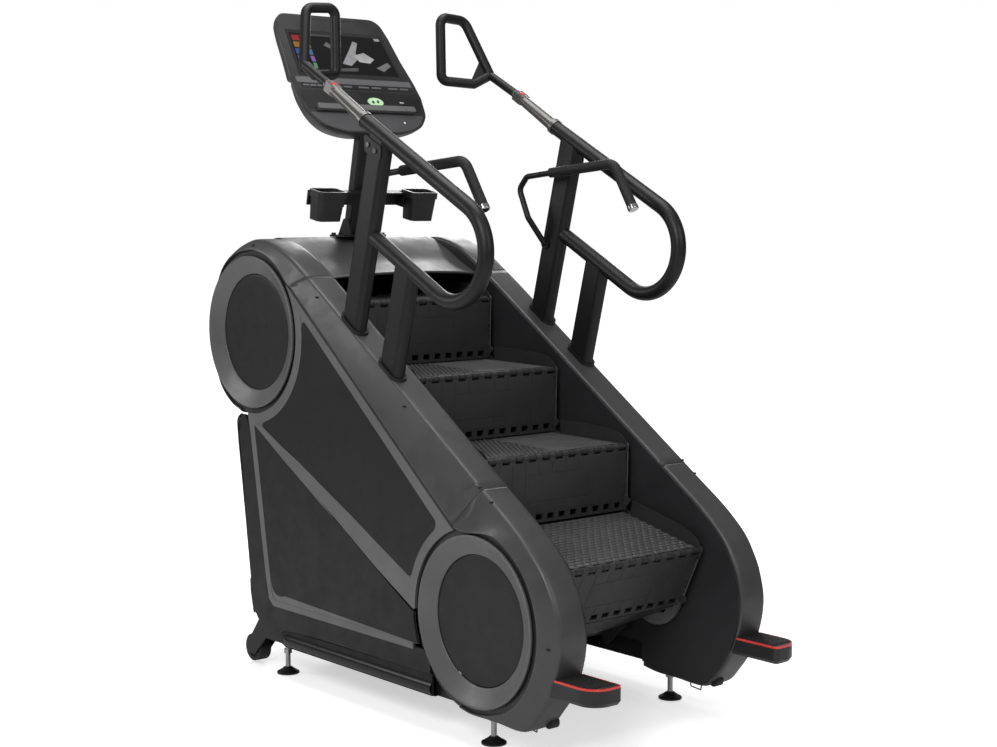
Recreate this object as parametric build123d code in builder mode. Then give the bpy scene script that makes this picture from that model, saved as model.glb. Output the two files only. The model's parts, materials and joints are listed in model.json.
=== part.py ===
from build123d import *
import math
import os

# Revolving stair climber. Millimetres, +Z up, floor at z = 0.
# X is the width (right side +X), +Y is the climbing direction: the steps are entered at the
# front (-Y) and the console stands towards the rear (+Y).
# The origin is the middle of the footprint on the floor.
# Outlines in side view are lists of (y, z); Plane.YZ sketches are extruded towards +X.

os.makedirs("parts", exist_ok=True)

# ---------------------------------------------------------------- driving dimensions
REACH = 920.0            # distance from the origin to the front of the foot pods
SIDE_X = 428.0           # outer side face of the housings
RIDGE_X = 408.0          # outer top ridge of the housings
HOUSING_X = 309.0        # inner side of the housings
LANE_X = 304.0           # inner wall faces, half the width of the stair lane
WALL_T = 4.0             # thickness of the moulded covers and walls
LOWER = (-446.0, 356.0)  # lower sprocket shaft and lower disc
UPPER = (675.0, 1104.0)  # upper sprocket shaft and upper disc
LOW_Y, LOW_Z = LOWER
UP_Y, UP_Z = UPPER
DISC_R = 245.0           # rim of the side discs
DISC_GAP_R = 261.5       # opening in the housing around a disc
INSERT_R = 186.5         # recessed centre of a disc
INSERT_X, INSERT_T = 399.0, 3.0
TOP_Z = 1404.0           # top of the hood

PANEL_X, PANEL_T = 420.0, 4.5    # inner face and thickness of the side panels
TRIM_X, TRIM_T = 418.0, 9.0
SKIRT_X = 419.0

BASE_Z = 133.0           # centre height of the base tubes
BASE_W = 60.0            # width of the base tubes
POST_X = 374.0           # centre of the posts and of the sloping bar
TUBE_WALL = 3.0
MID_TUBE = (60.0, 693.5)         # round cross tubes
TOP_TUBE = (625.0, 1345.0)
TUBE_R, TUBE_HALF = 25.0, 357.0
SHAFT_R = 15.0
BEARING_X = 340.0

STEP_HALF = 278.0        # half the width of a tread
STEP_RUN, STEP_RISE = 325, 213   # run and rise from one step to the next
TREAD_T = 18.0
RISER_T = 9.0
KNUCKLE_R, KNUCKLE_W = 9.0, 24.0
KNUCKLE_PITCH = 52       # knuckles of one plate; those of the other lie halfway between
WEB_REACH = 14           # length of the web from a pin to its plate
PIN_INSET = 8            # hinge pin behind both outer faces
PIN_END = 19.5           # distance of the plates from the nose, clear of the hinge
PIN_R = 4.0
PIN_HALF = 285.5
RUN_FIT = 0.05           # radial running clearance of shafts and pins

CHAIN_R = 109.0          # pitch radius of the step chain on its sprockets
CHAIN_X, CHAIN_W = 289, 8
PULLEY_R = 120.0         # large drive pulley
ALT_PULLEY_R = 30.0
ALT_CENTRE = (330.0, 300.0)
ALT_Y = ALT_CENTRE[0]
PULLEY_X, PULLEY_W = -336, 24
ALT_SHAFT_R = 10

RAIL_R = 23.2            # hand rail tube
RAIL_X = 380.0
RAIL_BEND = 142.0        # radius of the hand rail bend
RAIL_NORMAL = (-0.469, 0.883)    # square to the straight runs of the rail
RAIL_TOP = (RAIL_X, 99.0, 1758.0)
RAIL_END = (RAIL_X, 58.0, 1414.6)
LEAN = math.radians(14.3)        # lean of the uprights towards the front
UP_DIR = (0.0, -math.sin(LEAN), math.cos(LEAN))
UPRIGHT_W, UPRIGHT_D, UPRIGHT_R = 44.0, 92.0, 20
REAR_BASE = Plane(origin=(RAIL_X, 199.7, 1015.0), x_dir=(1, 0, 0), z_dir=UP_DIR)
FRONT_BASE = Plane(origin=(RAIL_X, 13.5, 890.0), x_dir=(1, 0, 0), z_dir=UP_DIR)

FOOT_R = 36.0
STEM_R = 8.0
FRONT_FOOT = (356, LOW_Y - 8)    # (x, y) on the right side
REAR_FOOT = (370, 560)
WHEEL_R = 45.0
WHEEL_CENTRE = (742.0, 52.0)
AXLE_R = 6.0


# ---------------------------------------------------------------- shared helpers
def polar(centre, radius, degrees):
    angle = math.radians(degrees)
    return (centre[0] + radius * math.cos(angle), centre[1] + radius * math.sin(angle))


def inset(points, distance):
    """Moves each point of a clockwise run of points inwards by distance."""
    moved = []
    for i, (y, z) in enumerate(points):
        before, after = points[max(i - 1, 0)], points[min(i + 1, len(points) - 1)]
        dy, dz = after[0] - before[0], after[1] - before[1]
        length = math.hypot(dy, dz)
        moved.append((y + distance * dz / length, z - distance * dy / length))
    return moved


def disc(x, centre, radius, length, bore=0, windows=None, mode=Mode.ADD):
    """Round disc along X from x, added to the active part.

    windows is (radius of the ring, radius of each) for six round holes.
    """
    with BuildSketch(Plane.YZ.offset(x)) as section:
        with Locations(centre):
            Circle(radius)
            if bore:
                Circle(bore, mode=Mode.SUBTRACT)
            if windows:
                with PolarLocations(windows[0], 6):
                    Circle(windows[1], mode=Mode.SUBTRACT)
    extrude(section.sketch, amount=length, mode=mode)


def slab(x, points, length, mode=Mode.ADD):
    """Prism along X from x with the given side view, added to the active part."""
    with BuildSketch(Plane.YZ.offset(x)) as section:
        with BuildLine():
            Polyline(*points, close=True)
        make_face()
    extrude(section.sketch, amount=length, mode=mode)


def bar(y0, z0, y1, z1, width, depth, x):
    """Solid bar between two points at one x, added to the active part."""
    length = math.hypot(y1 - y0, z1 - z0)
    direction = (0, (y1 - y0) / length, (z1 - z0) / length)
    with BuildSketch(Plane(origin=(x, y0, z0), x_dir=(1, 0, 0), z_dir=direction)) as section:
        Rectangle(width, depth)
    extrude(section.sketch, amount=length)


def rod(start, end, radius):
    """Round rod between two vectors, added to the active part."""
    with BuildSketch(Plane(origin=start, z_dir=(end - start).normalized())) as section:
        Circle(radius)
    extrude(section.sketch, amount=(end - start).length)


def upright_section(grow, radius, mode=Mode.ADD):
    """Section of an upright enlarged by grow, drawn in the active sketch."""
    RectangleRounded(UPRIGHT_W + grow, UPRIGHT_D + grow, radius, mode=mode)


def mirrored(part):
    """The left-hand copy of a right-hand part."""
    with BuildPart() as other:
        add(part)
        mirror(about=Plane.YZ, mode=Mode.REPLACE)
    return other.part


# ---------------------------------------------------------------- side housings
RIDGE_DIR = (0.8285, 0.5600)     # direction of the housing's sloping top
NOSE_DIR = (-0.77, 0.64)         # start of the front curve
CROWN_DIR = (-0.87, -0.49)       # end of the curve around the upper disc
NOSE_PTS = [
    (-640, 83), (-700, 137), (-748, 207), (-777, 290), (-785, 365), (-769, 438),
    (-745, 490), (-705, 548), (-624, 618), (-500, 703),
]
CROWN_PTS = [
    (306, 1246), (412, 1315), (480, 1355), (551, 1384), (624, 1400), (690, 1398),
    (775, 1366), (845, 1305), (892, 1215), (912, 1110), (902, 1010), (860, 918),
    (800, 864), (740, 836),
]
# the same curves on the side face, where the bevel from the ridge ends
FACE_NOSE_PTS = [
    polar(LOWER, 268, a)
    for a in (-125, -139, -153.7, -168.7, 178.5, 165.8, 152, 135, 108, 72.6)
]
FACE_CROWN_PTS = [(436, 1252)] + [
    polar(
        UPPER,
        min(266, math.hypot(y - UP_Y, z - UP_Z) - 4),
        math.degrees(math.atan2(z - UP_Z, y - UP_Y)),
    )
    for y, z in CROWN_PTS[1:]
]
# rear and bottom of each outline, from the end of the crown to the start of the nose
RIDGE_BACK = [(752, 765), (690, 292), (662, 150), (640, 103), (-400, 103)]
FACE_BACK = [(746, 765), (684, 292), (657, 152), (636, 107), (-400, 107)]
INNER_BACK = [(747, 763), (686, 294), (658, 154), (637, 107), (-400, 107)]
LANE_WALL_BACK = [(742, 763), (682, 294), (654, 172), (-383, 172), (-383, 112), (-460, 92)]
# opening for the discs, panels and trim between the disc circles
OPENING_PTS = [
    (-372, 600), (-350, 613), (452, 1257), (520, 1300), (660, 1104), (740, 990),
    (700, 842), (752, 834), (765, 765), (748, 660), (702, 292), (674, 165),
    (-300, 165), LOWER,
]
# everything below and behind the moulded covers
UNDER_PTS = [
    (-383, 0), (1000, 0), (1000, 834), (715, 834), (600, 1000), (-345, 585), (-383, 545),
]


def housing_outline(nose, crown, back, nose_dir=NOSE_DIR, ridge_dir=RIDGE_DIR):
    """Closed side view of a housing, drawn in the active line context."""
    Spline(*nose, tangents=[nose_dir, ridge_dir])
    Line(nose[-1], crown[0])
    Spline(*crown, tangents=[ridge_dir, CROWN_DIR])
    Polyline(crown[-1], *back, nose[0])


def housing_envelope():
    """Solid housing with the outer ridge bevelled down to the side face."""
    with BuildPart() as envelope:
        with BuildSketch(Plane.YZ.offset(HOUSING_X)):
            with BuildLine():
                housing_outline(NOSE_PTS, CROWN_PTS, RIDGE_BACK)
            make_face()
        extrude(amount=RIDGE_X - HOUSING_X)
        with BuildSketch(Plane.YZ.offset(RIDGE_X)):
            with BuildLine():
                housing_outline(NOSE_PTS, CROWN_PTS, RIDGE_BACK)
            make_face()
        with BuildSketch(Plane.YZ.offset(SIDE_X)):
            with BuildLine():
                housing_outline(
                    FACE_NOSE_PTS, FACE_CROWN_PTS, FACE_BACK, (-0.82, 0.57), (0.78, 0.625)
                )
            make_face()
        loft(ruled=True)
    return envelope.part


with BuildSketch() as opening_outline:
    with Locations(LOWER, UPPER):
        Circle(DISC_GAP_R)
    with BuildLine():
        Polyline(*OPENING_PTS, close=True)
    make_face()
with BuildSketch() as under_region:
    with BuildLine():
        Polyline(*UNDER_PTS, close=True)
    make_face()


def housing_shell():
    """Hollow right housing before it is parted at the seam."""
    cut_x, cut_length = 300, 140
    envelope = housing_envelope()
    with BuildPart() as shell:
        add(envelope)
        # hollow inside, open towards the discs and panels
        with BuildSketch(Plane.YZ.offset(HOUSING_X + WALL_T)):
            with BuildLine():
                housing_outline(inset(NOSE_PTS, WALL_T), inset(CROWN_PTS, WALL_T), INNER_BACK)
            make_face()
        extrude(amount=RIDGE_X - WALL_T - HOUSING_X - WALL_T, mode=Mode.SUBTRACT)
        for region in (opening_outline, under_region):
            with BuildSketch(Plane.YZ.offset(cut_x)):
                add(region.sketch)
            extrude(amount=cut_length, mode=Mode.SUBTRACT)
        # rolled rear edge behind the upper disc: outer radius, inner radius, depth
        for r_out, r_in, depth in ((244.5, 236, WALL_T), (243, 239, 107)):
            with BuildSketch(Plane.YZ.offset(HOUSING_X)):
                with Locations(UPPER):
                    Circle(r_out)
                    Circle(r_in, mode=Mode.SUBTRACT)
                with BuildLine():
                    Polyline(
                        UPPER, polar(UPPER, 400, -78), polar(UPPER, 500, -10),
                        polar(UPPER, 400, 64), close=True,
                    )
                make_face(mode=Mode.INTERSECT)
            extrude(amount=depth)
        # clearance for the top cross tube
        disc(305, TOP_TUBE, TUBE_R + 2, 60, mode=Mode.SUBTRACT)
        # clearance holes for the uprights
        for base in (REAR_BASE, FRONT_BASE):
            with BuildSketch(base):
                upright_section(3, UPRIGHT_R + 1)
            extrude(amount=400, mode=Mode.SUBTRACT)
    return shell.part


SEAM = Plane(origin=(0, -460, 728), x_dir=(1, 0, 0), z_dir=(0, 0.72, 0.694))
SEAM_GAP = 0.4           # half of the gap between the two covers


def side_cover(shell, offset, keep):
    """The part of the housing shell on one side of the seam."""
    with BuildPart() as cover:
        add(shell)
        split(bisect_by=SEAM.offset(offset), keep=keep)
    return cover.part


# ---------------------------------------------------------------- side panels and trim
SIDE_FIELD_PTS = [
    (-360, 604), (-348, 612), (451, 1253), (520, 1297), (660, 1104), (696, 842),
    (716, 833.4), (738, 833.4), (750, 765), (733, 660), (688, 292), (662, 166),
    (-300, 166), LOWER,
]
UPPER_PANEL_PTS = [
    (-420, 505), (500, 1264), (700, 1264), (700, 830), (600, 800), (500, 752),
    (400, 710), (300, 662), (200, 615), (100, 567), (0, 517), (-165, 436), (-260, 390),
]
LOWER_PANEL_PTS = [
    (-300, 248), (545, 248), (563, 262), (575, 333), (650, 773), (655, 806),
    (600, 775), (500, 716), (300, 604), (100, 494), (0, 434), (-176, 338), (-320, 300),
]
TRIM_PTS = [
    (-174, 229), (556, 229), (580, 248), (600, 333), (676, 773), (692, 838),
    (640, 1000), (640, 1300), (400, 1300), (-400, 640), (-330, 480), (-178, 347),
    (0, 440), (300, 612), (100, 480), (-174, 300),
]

# area between the discs that the panels, trim and skirt share
with BuildSketch() as side_field:
    with BuildLine():
        Polyline(*SIDE_FIELD_PTS, close=True)
    make_face()
    with Locations(LOWER, UPPER):
        Circle(DISC_GAP_R + 0.5, mode=Mode.SUBTRACT)
with BuildSketch() as upper_field:
    with BuildLine():
        Polyline(*UPPER_PANEL_PTS, close=True)
    make_face()
    with Locations(LOWER):
        Circle(291, mode=Mode.SUBTRACT)
    with Locations(UPPER):
        Circle(294, mode=Mode.SUBTRACT)
upper_piece = upper_field.faces().sort_by(SortBy.AREA)[-1]
with BuildSketch() as lower_field:
    with BuildLine():
        Polyline(*LOWER_PANEL_PTS, close=True)
    make_face()
    with Locations(LOWER):
        Circle(272, mode=Mode.SUBTRACT)
with BuildSketch() as trim_field:
    with BuildLine():
        Polyline(*TRIM_PTS, close=True)
    make_face()
    add(lower_field.sketch)
    add(side_field.sketch, mode=Mode.INTERSECT)


def upper_side_panel():
    with BuildPart() as panel:
        with BuildSketch(Plane.YZ.offset(PANEL_X)):
            add(upper_piece)
        extrude(amount=PANEL_T)
    return panel.part


def lower_side_panel():
    with BuildPart() as panel:
        with BuildSketch(Plane.YZ.offset(PANEL_X)):
            add(lower_field.sketch)
            add(side_field.sketch, mode=Mode.INTERSECT)
        extrude(amount=PANEL_T)
    return panel.part


def side_trim():
    """Raised trim around both panels."""
    with BuildPart() as trim:
        with BuildSketch(Plane.YZ.offset(TRIM_X)):
            add(trim_field.sketch)
            add(upper_piece, mode=Mode.SUBTRACT)
            add(lower_field.sketch, mode=Mode.SUBTRACT)
        extrude(amount=TRIM_T)
    return trim.part


def side_skirts():
    """What is left of the side field outside the trim and panels, on both sides."""
    with BuildPart() as skirt:
        with BuildSketch(Plane.YZ.offset(SKIRT_X)):
            add(side_field.sketch)
            add(trim_field.sketch, mode=Mode.SUBTRACT)
            add(upper_piece, mode=Mode.SUBTRACT)
            add(lower_field.sketch, mode=Mode.SUBTRACT)
        extrude(amount=PANEL_T)
    with BuildPart() as skirts:
        add(skirt.part)
        mirror(about=Plane.YZ)
    return skirts.part


# section of a dished ring, as (distance from the disc axis, -x)
DISC_RING_PTS = [
    (187, -403), (242, -430), (DISC_R, -430), (DISC_R, -418), (241, -418), (187, -399.5),
]


def disc_rings():
    """Dished rings of the four side discs."""
    with BuildPart() as rings:
        for cy, cz in (LOWER, UPPER):
            with BuildSketch(Plane(origin=(0, cy, cz), x_dir=(0, 1, 0), z_dir=(0, 0, 1))):
                with BuildLine():
                    Polyline(*DISC_RING_PTS, close=True)
                make_face()
            revolve(axis=Axis((0, cy, cz), (1, 0, 0)))
        mirror(about=Plane.YZ)
    return rings.part


def disc_inserts():
    """Recessed centres of the four side discs."""
    with BuildPart() as inserts:
        for centre in (LOWER, UPPER):
            disc(INSERT_X, centre, INSERT_R, INSERT_T)
        mirror(about=Plane.YZ)
    return inserts.part


# ---------------------------------------------------------------- lane walls, hood, rear cover
WALL_INSET = 7           # lane walls inside the ridge outline
HOOD_T = 4.5
HOOD_SIDE = LANE_X - 1   # half the width of the hood
HOOD_PTS = [
    (402, 1296), (500, 1328), (575, 1366), (645, 1396), (705, TOP_Z), (775, 1376),
    (845, 1311), (892, 1220), (911, 1110), (900, 1010), (860, 920), (800, 866), (745, 841),
]
REAR_COVER_HALF = 416
REAR_COVER_PTS = [
    (738, 828), (747, 764), (686, 292), (658, 168), (662, 168), (690, 292),
    (751, 765), (742, 828),
]


def lane_walls():
    with BuildPart() as walls:
        with BuildSketch(Plane.YZ.offset(LANE_X)):
            with BuildLine():
                housing_outline(
                    inset(NOSE_PTS, WALL_INSET), inset(CROWN_PTS, WALL_INSET), LANE_WALL_BACK
                )
            make_face()
            with Locations(LOWER, UPPER, ALT_CENTRE):
                Circle(24, mode=Mode.SUBTRACT)
            with Locations(MID_TUBE, TOP_TUBE):
                Circle(TUBE_R + 1.5, mode=Mode.SUBTRACT)
        extrude(amount=WALL_T)
        mirror(about=Plane.YZ)
    return walls.part


def top_hood():
    with BuildPart() as hood:
        with BuildSketch(Plane.YZ.offset(-HOOD_SIDE)):
            with BuildLine():
                inside = inset(HOOD_PTS, HOOD_T)
                Spline(*HOOD_PTS, tangents=[(0.97, 0.24), (-0.9, -0.43)])
                Line(HOOD_PTS[-1], inside[-1])
                Spline(*reversed(inside), tangents=[(0.9, 0.43), (-0.97, -0.24)])
                Line(inside[0], HOOD_PTS[0])
            make_face()
        extrude(amount=2 * HOOD_SIDE)
    return hood.part


def rear_cover():
    with BuildPart() as cover:
        slab(-REAR_COVER_HALF, REAR_COVER_PTS, 2 * REAR_COVER_HALF)
    return cover.part


# ---------------------------------------------------------------- welded frame
INCLINE = (-480.0, 497.0, 625.0, 1233.0)     # sloping bar: y, z of both ends
POST_W, POST_D = 36, 50
# tubes of the right side frame: y, z of both ends, width in X, depth, centre x
FRAME_TUBES = [
    (-560, BASE_Z, 655, BASE_Z, BASE_W, BASE_W, 370),
    (LOW_Y, BASE_Z, LOW_Y, 543, POST_W, POST_D, POST_X),
    (60, BASE_Z, 60, 853, POST_W, 40, POST_X),
    (625, BASE_Z, 625, 1372, POST_W, POST_D, POST_X),
    (*INCLINE, POST_W, POST_D, POST_X),
]
# their hollow insides, in the same columns
FRAME_BORES = [
    (-557, BASE_Z, 652, BASE_Z, 54, 54, 370),
    (LOW_Y, 160, LOW_Y, 540, 30, 44, POST_X),
    (60, 160, 60, 850, 30, 34, POST_X),
    (625, 160, 625, 1369, 30, 44, POST_X),
    (INCLINE[0] + 3, INCLINE[1] + 2, INCLINE[2], INCLINE[3], 30, 44, POST_X),
]
WHEEL_EAR_PTS = [
    (655, 103), (726, 30), (762, 34), (762, 70), (690, 163), (640, 163), (640, 103),
]
EAR_X, EAR_T = (338, 388), 5
CROSS_Y = (-60, ALT_Y, 620)      # square cross tubes
CROSS_HALF = 341


def base_frame():
    with BuildPart() as bores:
        for bore in FRAME_BORES:
            bar(*bore)
    with BuildPart() as frame:
        for tube in FRAME_TUBES:
            bar(*tube)
        add(bores.part, mode=Mode.SUBTRACT)
        # plates behind the shaft bearings
        with BuildSketch(Plane.YZ.offset(350)):
            with Locations(LOWER):
                RectangleRounded(110, 110, 12)
            with Locations((UP_Y - 10, UP_Z)):
                RectangleRounded(140, 110, 12)
            with Locations(LOWER, UPPER):
                Circle(SHAFT_R + 4, mode=Mode.SUBTRACT)
        extrude(amount=6)
        # saddles under the uprights, resting on the sloping bar
        for base in (REAR_BASE, FRONT_BASE):
            with BuildSketch(base):
                upright_section(0, UPRIGHT_R)
                upright_section(-12, UPRIGHT_R - 6, mode=Mode.SUBTRACT)
            extrude(amount=-26)
        # ears and axle of the transport wheel
        for x in EAR_X:
            slab(x, WHEEL_EAR_PTS, EAR_T)
        disc(EAR_X[0], WHEEL_CENTRE, AXLE_R, EAR_X[1] + EAR_T - EAR_X[0])
        mirror(about=Plane.YZ)
        # cross tubes
        for centre in (MID_TUBE, TOP_TUBE):
            disc(-TUBE_HALF, centre, TUBE_R, 2 * TUBE_HALF, bore=TUBE_R - TUBE_WALL)
        for cy in CROSS_Y:
            with BuildSketch(Plane.YZ.offset(-CROSS_HALF)):
                with Locations((cy, BASE_Z)):
                    Rectangle(BASE_W, BASE_W)
                    inside = BASE_W - 2 * TUBE_WALL
                    Rectangle(inside, inside, mode=Mode.SUBTRACT)
            extrude(amount=2 * CROSS_HALF)
        # holes for the levelling feet
        with BuildSketch(Plane.XY.offset(100)):
            with Locations(*[(s * x, y) for x, y in (FRONT_FOOT, REAR_FOOT) for s in (1, -1)]):
                Circle(STEM_R + RUN_FIT)
        extrude(amount=8, mode=Mode.SUBTRACT)
    return frame.part


# ---------------------------------------------------------------- hand rails and uprights
# the bend runs from the upper to the lower straight around its centre
BEND_Y, BEND_Z = -307.0, 1382.0
NORMAL_Y, NORMAL_Z = RAIL_NORMAL[0] * RAIL_BEND, RAIL_NORMAL[1] * RAIL_BEND
BEND_START = (RAIL_X, BEND_Y + NORMAL_Y, BEND_Z + NORMAL_Z)
BEND_MID = (RAIL_X, BEND_Y - NORMAL_Z, BEND_Z + NORMAL_Y)
BEND_END = (RAIL_X, BEND_Y - NORMAL_Y, BEND_Z - NORMAL_Z)

with BuildLine() as rail_path:
    Line(RAIL_TOP, BEND_START)
    ThreePointArc(BEND_START, BEND_MID, BEND_END)
    Line(BEND_END, RAIL_END)
with BuildPart() as rail_space:
    with BuildSketch(Plane(origin=rail_path.line @ 0, z_dir=rail_path.line % 0)):
        Circle(RAIL_R + 0.1)
    sweep(path=rail_path.line)


def hand_rails():
    with BuildPart() as upright_space:
        with BuildSketch(REAR_BASE):
            upright_section(0.2, UPRIGHT_R)
        extrude(amount=600)
    # the rail's lower end stops on the face of the rear upright
    with BuildPart() as raw:
        with BuildSketch(Plane(origin=rail_path.line @ 0, z_dir=rail_path.line % 0)):
            Circle(RAIL_R)
            Circle(RAIL_R - TUBE_WALL, mode=Mode.SUBTRACT)
        sweep(path=rail_path.line)
        add(upright_space.part, mode=Mode.SUBTRACT)
    with BuildPart() as rails:
        add(raw.solids().sort_by(SortBy.VOLUME)[-1])
        mirror(about=Plane.YZ)
    return rails.part


def uprights(base, length, rail_point):
    """Pair of uprights, coped to the rail run through rail_point."""
    with BuildPart() as raw:
        with BuildSketch(base):
            upright_section(0, UPRIGHT_R)
            upright_section(-2 * TUBE_WALL, UPRIGHT_R - TUBE_WALL, mode=Mode.SUBTRACT)
        extrude(amount=length)
        split(
            bisect_by=Plane(
                origin=(0, *rail_point[1:]), x_dir=(1, 0, 0), z_dir=(0, *RAIL_NORMAL)
            ),
            keep=Keep.BOTTOM,
        )
        add(rail_space.part, mode=Mode.SUBTRACT)
    with BuildPart() as pair:
        add(raw.solids().sort_by(SortBy.VOLUME)[-1])
        mirror(about=Plane.YZ)
    return pair.part


# band along the sloping top of the covers
COLLAR_BAND = [(-300, 837.7), (500, 1377.7), (494.6, 1384.4), (-305.4, 844.4)]


def upright_collars():
    """Collars where the uprights leave the covers."""
    with BuildPart() as collars:
        for base in (REAR_BASE, FRONT_BASE):
            with BuildSketch(base):
                upright_section(14, UPRIGHT_R + 6)
                upright_section(0.6, UPRIGHT_R + 0.3, mode=Mode.SUBTRACT)
            extrude(amount=330)
        slab(300, COLLAR_BAND, 120, mode=Mode.INTERSECT)
        mirror(about=Plane.YZ)
    return collars.part


BRACKET_X = RAIL_X + UPRIGHT_W / 2 + 0.2
BRACKET_T = 3.5
BRACKET_PTS = [(-2, 1640), (74, 1668), (78, 1722), (-6, 1680)]
BRACKET_BOLTS = [(22, 1668), (56, 1688)]


def rail_brackets():
    """Bolted plates where the uprights meet the upper rail."""
    with BuildPart() as brackets:
        with BuildSketch(Plane.YZ.offset(BRACKET_X)):
            with BuildLine():
                Polyline(*BRACKET_PTS, close=True)
            make_face()
            fillet(vertices(), 8)
        extrude(amount=BRACKET_T)
        mirror(about=Plane.YZ)
    return brackets.part


# ---------------------------------------------------------------- grips and loop handles
GRIP_START = Vector(*RAIL_TOP)
GRIP_AIM = Vector(RAIL_X - 2, 295.0, 1875.0)
BUTTON_AT = 200.5        # distance of the grip buttons along the grip
GRIP_END = 226.0
JOINT_GAP = 1.6          # gap at each end of a grip
grip_dir = (GRIP_AIM - GRIP_START).normalized()
grip_plane = Plane(origin=GRIP_START + grip_dir * JOINT_GAP, x_dir=(1, 0, 0), z_dir=grip_dir)
button_plane = Plane(
    origin=grip_plane.origin + grip_dir * BUTTON_AT, x_dir=(1, 0, 0), z_dir=grip_plane.y_dir * -1
)


def hand_grips():
    with BuildPart() as grips:
        with BuildSketch(grip_plane):
            Circle(25.5)
        extrude(amount=15)
        with BuildSketch(grip_plane.offset(15)):
            Ellipse(21.5, 20)
        with BuildSketch(grip_plane.offset(GRIP_END)):
            Ellipse(18.5, 16)
        loft()
        # flat block with a pocket for the button
        with BuildSketch(button_plane.offset(-14)):
            RectangleRounded(38, 2 * (GRIP_END - BUTTON_AT), 10)
        extrude(amount=29)
        with BuildSketch(button_plane.offset(8)):
            Circle(9.5)
        extrude(amount=10, mode=Mode.SUBTRACT)
        mirror(about=Plane.YZ)
    return grips.part


def stop_button():
    """Button of the right grip; the speed button is its mirror image."""
    with BuildPart() as button:
        with BuildSketch(button_plane.offset(10.5)):
            Circle(9.2)
        extrude(amount=7)
        fillet(button.edges().sort_by(Axis(button_plane.origin, button_plane.z_dir))[-1], 1.5)
    return button.part


LOOP_R = 16.3            # loop handle tube
NECK_R = 14.2            # rod between grip and loop handle
# corners of the right loop: outer bottom, outer top, upper bend, inner top, inner bottom
LOOP = [
    Vector(376, 426, 1944), Vector(320, 494, 2125), Vector(262, 494, 2139),
    Vector(213, 489, 2131), Vector(214, 485, 1922),
]
LOOP_KINK = Vector(322, 447, 1914)   # outer end of the lower bar of the loop


def loop_handles():
    corner, outer_top, _, inner_top, inner_bottom = LOOP
    middle = LOOP_KINK * 0.5 + inner_bottom * 0.5
    with BuildPart() as handles:
        rod(grip_plane.origin + grip_dir * (GRIP_END + JOINT_GAP), corner, NECK_R)
        with BuildLine() as path:
            FilletPolyline(
                middle, inner_bottom, inner_top, outer_top, corner, radius=(24, 26, 34)
            )
        with BuildSketch(Plane(origin=path.line @ 0, z_dir=path.line % 0)):
            Circle(LOOP_R)
        sweep(path=path.line)
        rod(middle, LOOP_KINK, LOOP_R)
        rod(LOOP_KINK, corner, LOOP_R)
        with Locations(corner, LOOP_KINK):
            Sphere(LOOP_R)
        # gusset in the lower outer corner
        on_side = corner + (outer_top - corner) * 0.34
        on_bottom = LOOP_KINK * 0.88 + inner_bottom * 0.12
        gusset = Plane(
            origin=corner,
            x_dir=(on_bottom - corner),
            z_dir=(on_side - corner).cross(on_bottom - corner).normalized(),
        )
        with BuildSketch(gusset.offset(-3)):
            with BuildLine():
                side, bottom = gusset.to_local_coords(on_side), gusset.to_local_coords(on_bottom)
                Polyline((0, 0), (side.X, side.Y), (bottom.X, bottom.Y), close=True)
            make_face()
        extrude(amount=6)
        mirror(about=Plane.YZ)
    return handles.part


# ---------------------------------------------------------------- side bars with foam grips
HORN_R = 9.5             # thin bar of the side handles
FOAM_R = 16.0
# corners of the right bar (x, y, z), from its free end to the rear upright
HORN = [
    (294.5, -335, 1509), (296, -254, 1638), (298, 34, 1613), (298, 150, 1602),
    (298, 186, 1562), (300, 146, 1470), (352, 124, 1386),
]
HORN_BENDS = (45, 60, 24, 24, 26)


def horn_bars():
    with BuildPart() as bars:
        with BuildLine() as path:
            FilletPolyline(*HORN, radius=HORN_BENDS)
        with BuildSketch(Plane(origin=path.line @ 0, z_dir=path.line % 0)):
            Circle(HORN_R)
        sweep(path=path.line)
        split(bisect_by=Plane.YZ.offset(RAIL_X - UPRIGHT_W / 2 - 0.3), keep=Keep.BOTTOM)
        # round foot against the upright
        disc(351, HORN[-1][1:], 16, 6.7)
        mirror(about=Plane.YZ)
    return bars.part


def foam_grips():
    with BuildPart() as grips:
        with BuildLine() as path:
            FilletPolyline(HORN[0], HORN[1], HORN[2], radius=HORN_BENDS[0])
        with BuildSketch(Plane(origin=path.line @ 0, z_dir=path.line % 0)):
            Circle(FOAM_R)
            Circle(HORN_R + 0.1, mode=Mode.SUBTRACT)
        sweep(path=path.line)
        mirror(about=Plane.YZ)
    return grips.part


def grip_end_caps():
    tip = Vector(*HORN[0])
    outward = (tip - Vector(*HORN[1])).normalized()
    with BuildPart() as caps:
        with BuildSketch(Plane(origin=tip + outward * 0.3, z_dir=outward)):
            Circle(FOAM_R + 1)
        extrude(amount=15)
        fillet(caps.edges().sort_by(Axis(tip, outward))[-1], 4)
        mirror(about=Plane.YZ)
    return caps.part


# ---------------------------------------------------------------- console
MAST_FOOT = Vector(0, 669, 1404)
MAST_HEAD = Vector(0, 597, 1750)
mast_dir = (MAST_HEAD - MAST_FOOT).normalized()
mast_plane = Plane(origin=MAST_FOOT, x_dir=(1, 0, 0), z_dir=mast_dir)
MAST_W, MAST_D = 100.0, 40.0

# plane of the console face, looking forwards and up; local y runs up the face
FACE = Plane(origin=(0, 622, 1835), x_dir=(1, 0, 0), z_dir=(0, -0.822, 0.570))
# right halves of the outlines on that plane
HEAD_OUT = [(249, 112), (234, 200), (224, 300), (208, 378)]
BODY_OUT = [(250, 104), (255, 45), (243, -32), (203, -80), (118, -108)]
SCREEN = [(215, 118), (198, 310)]
HEAD_CORNER = 46         # radius of the upper corners
NECK_AT = (0, 108)
START_AT = (50, 19)


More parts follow.
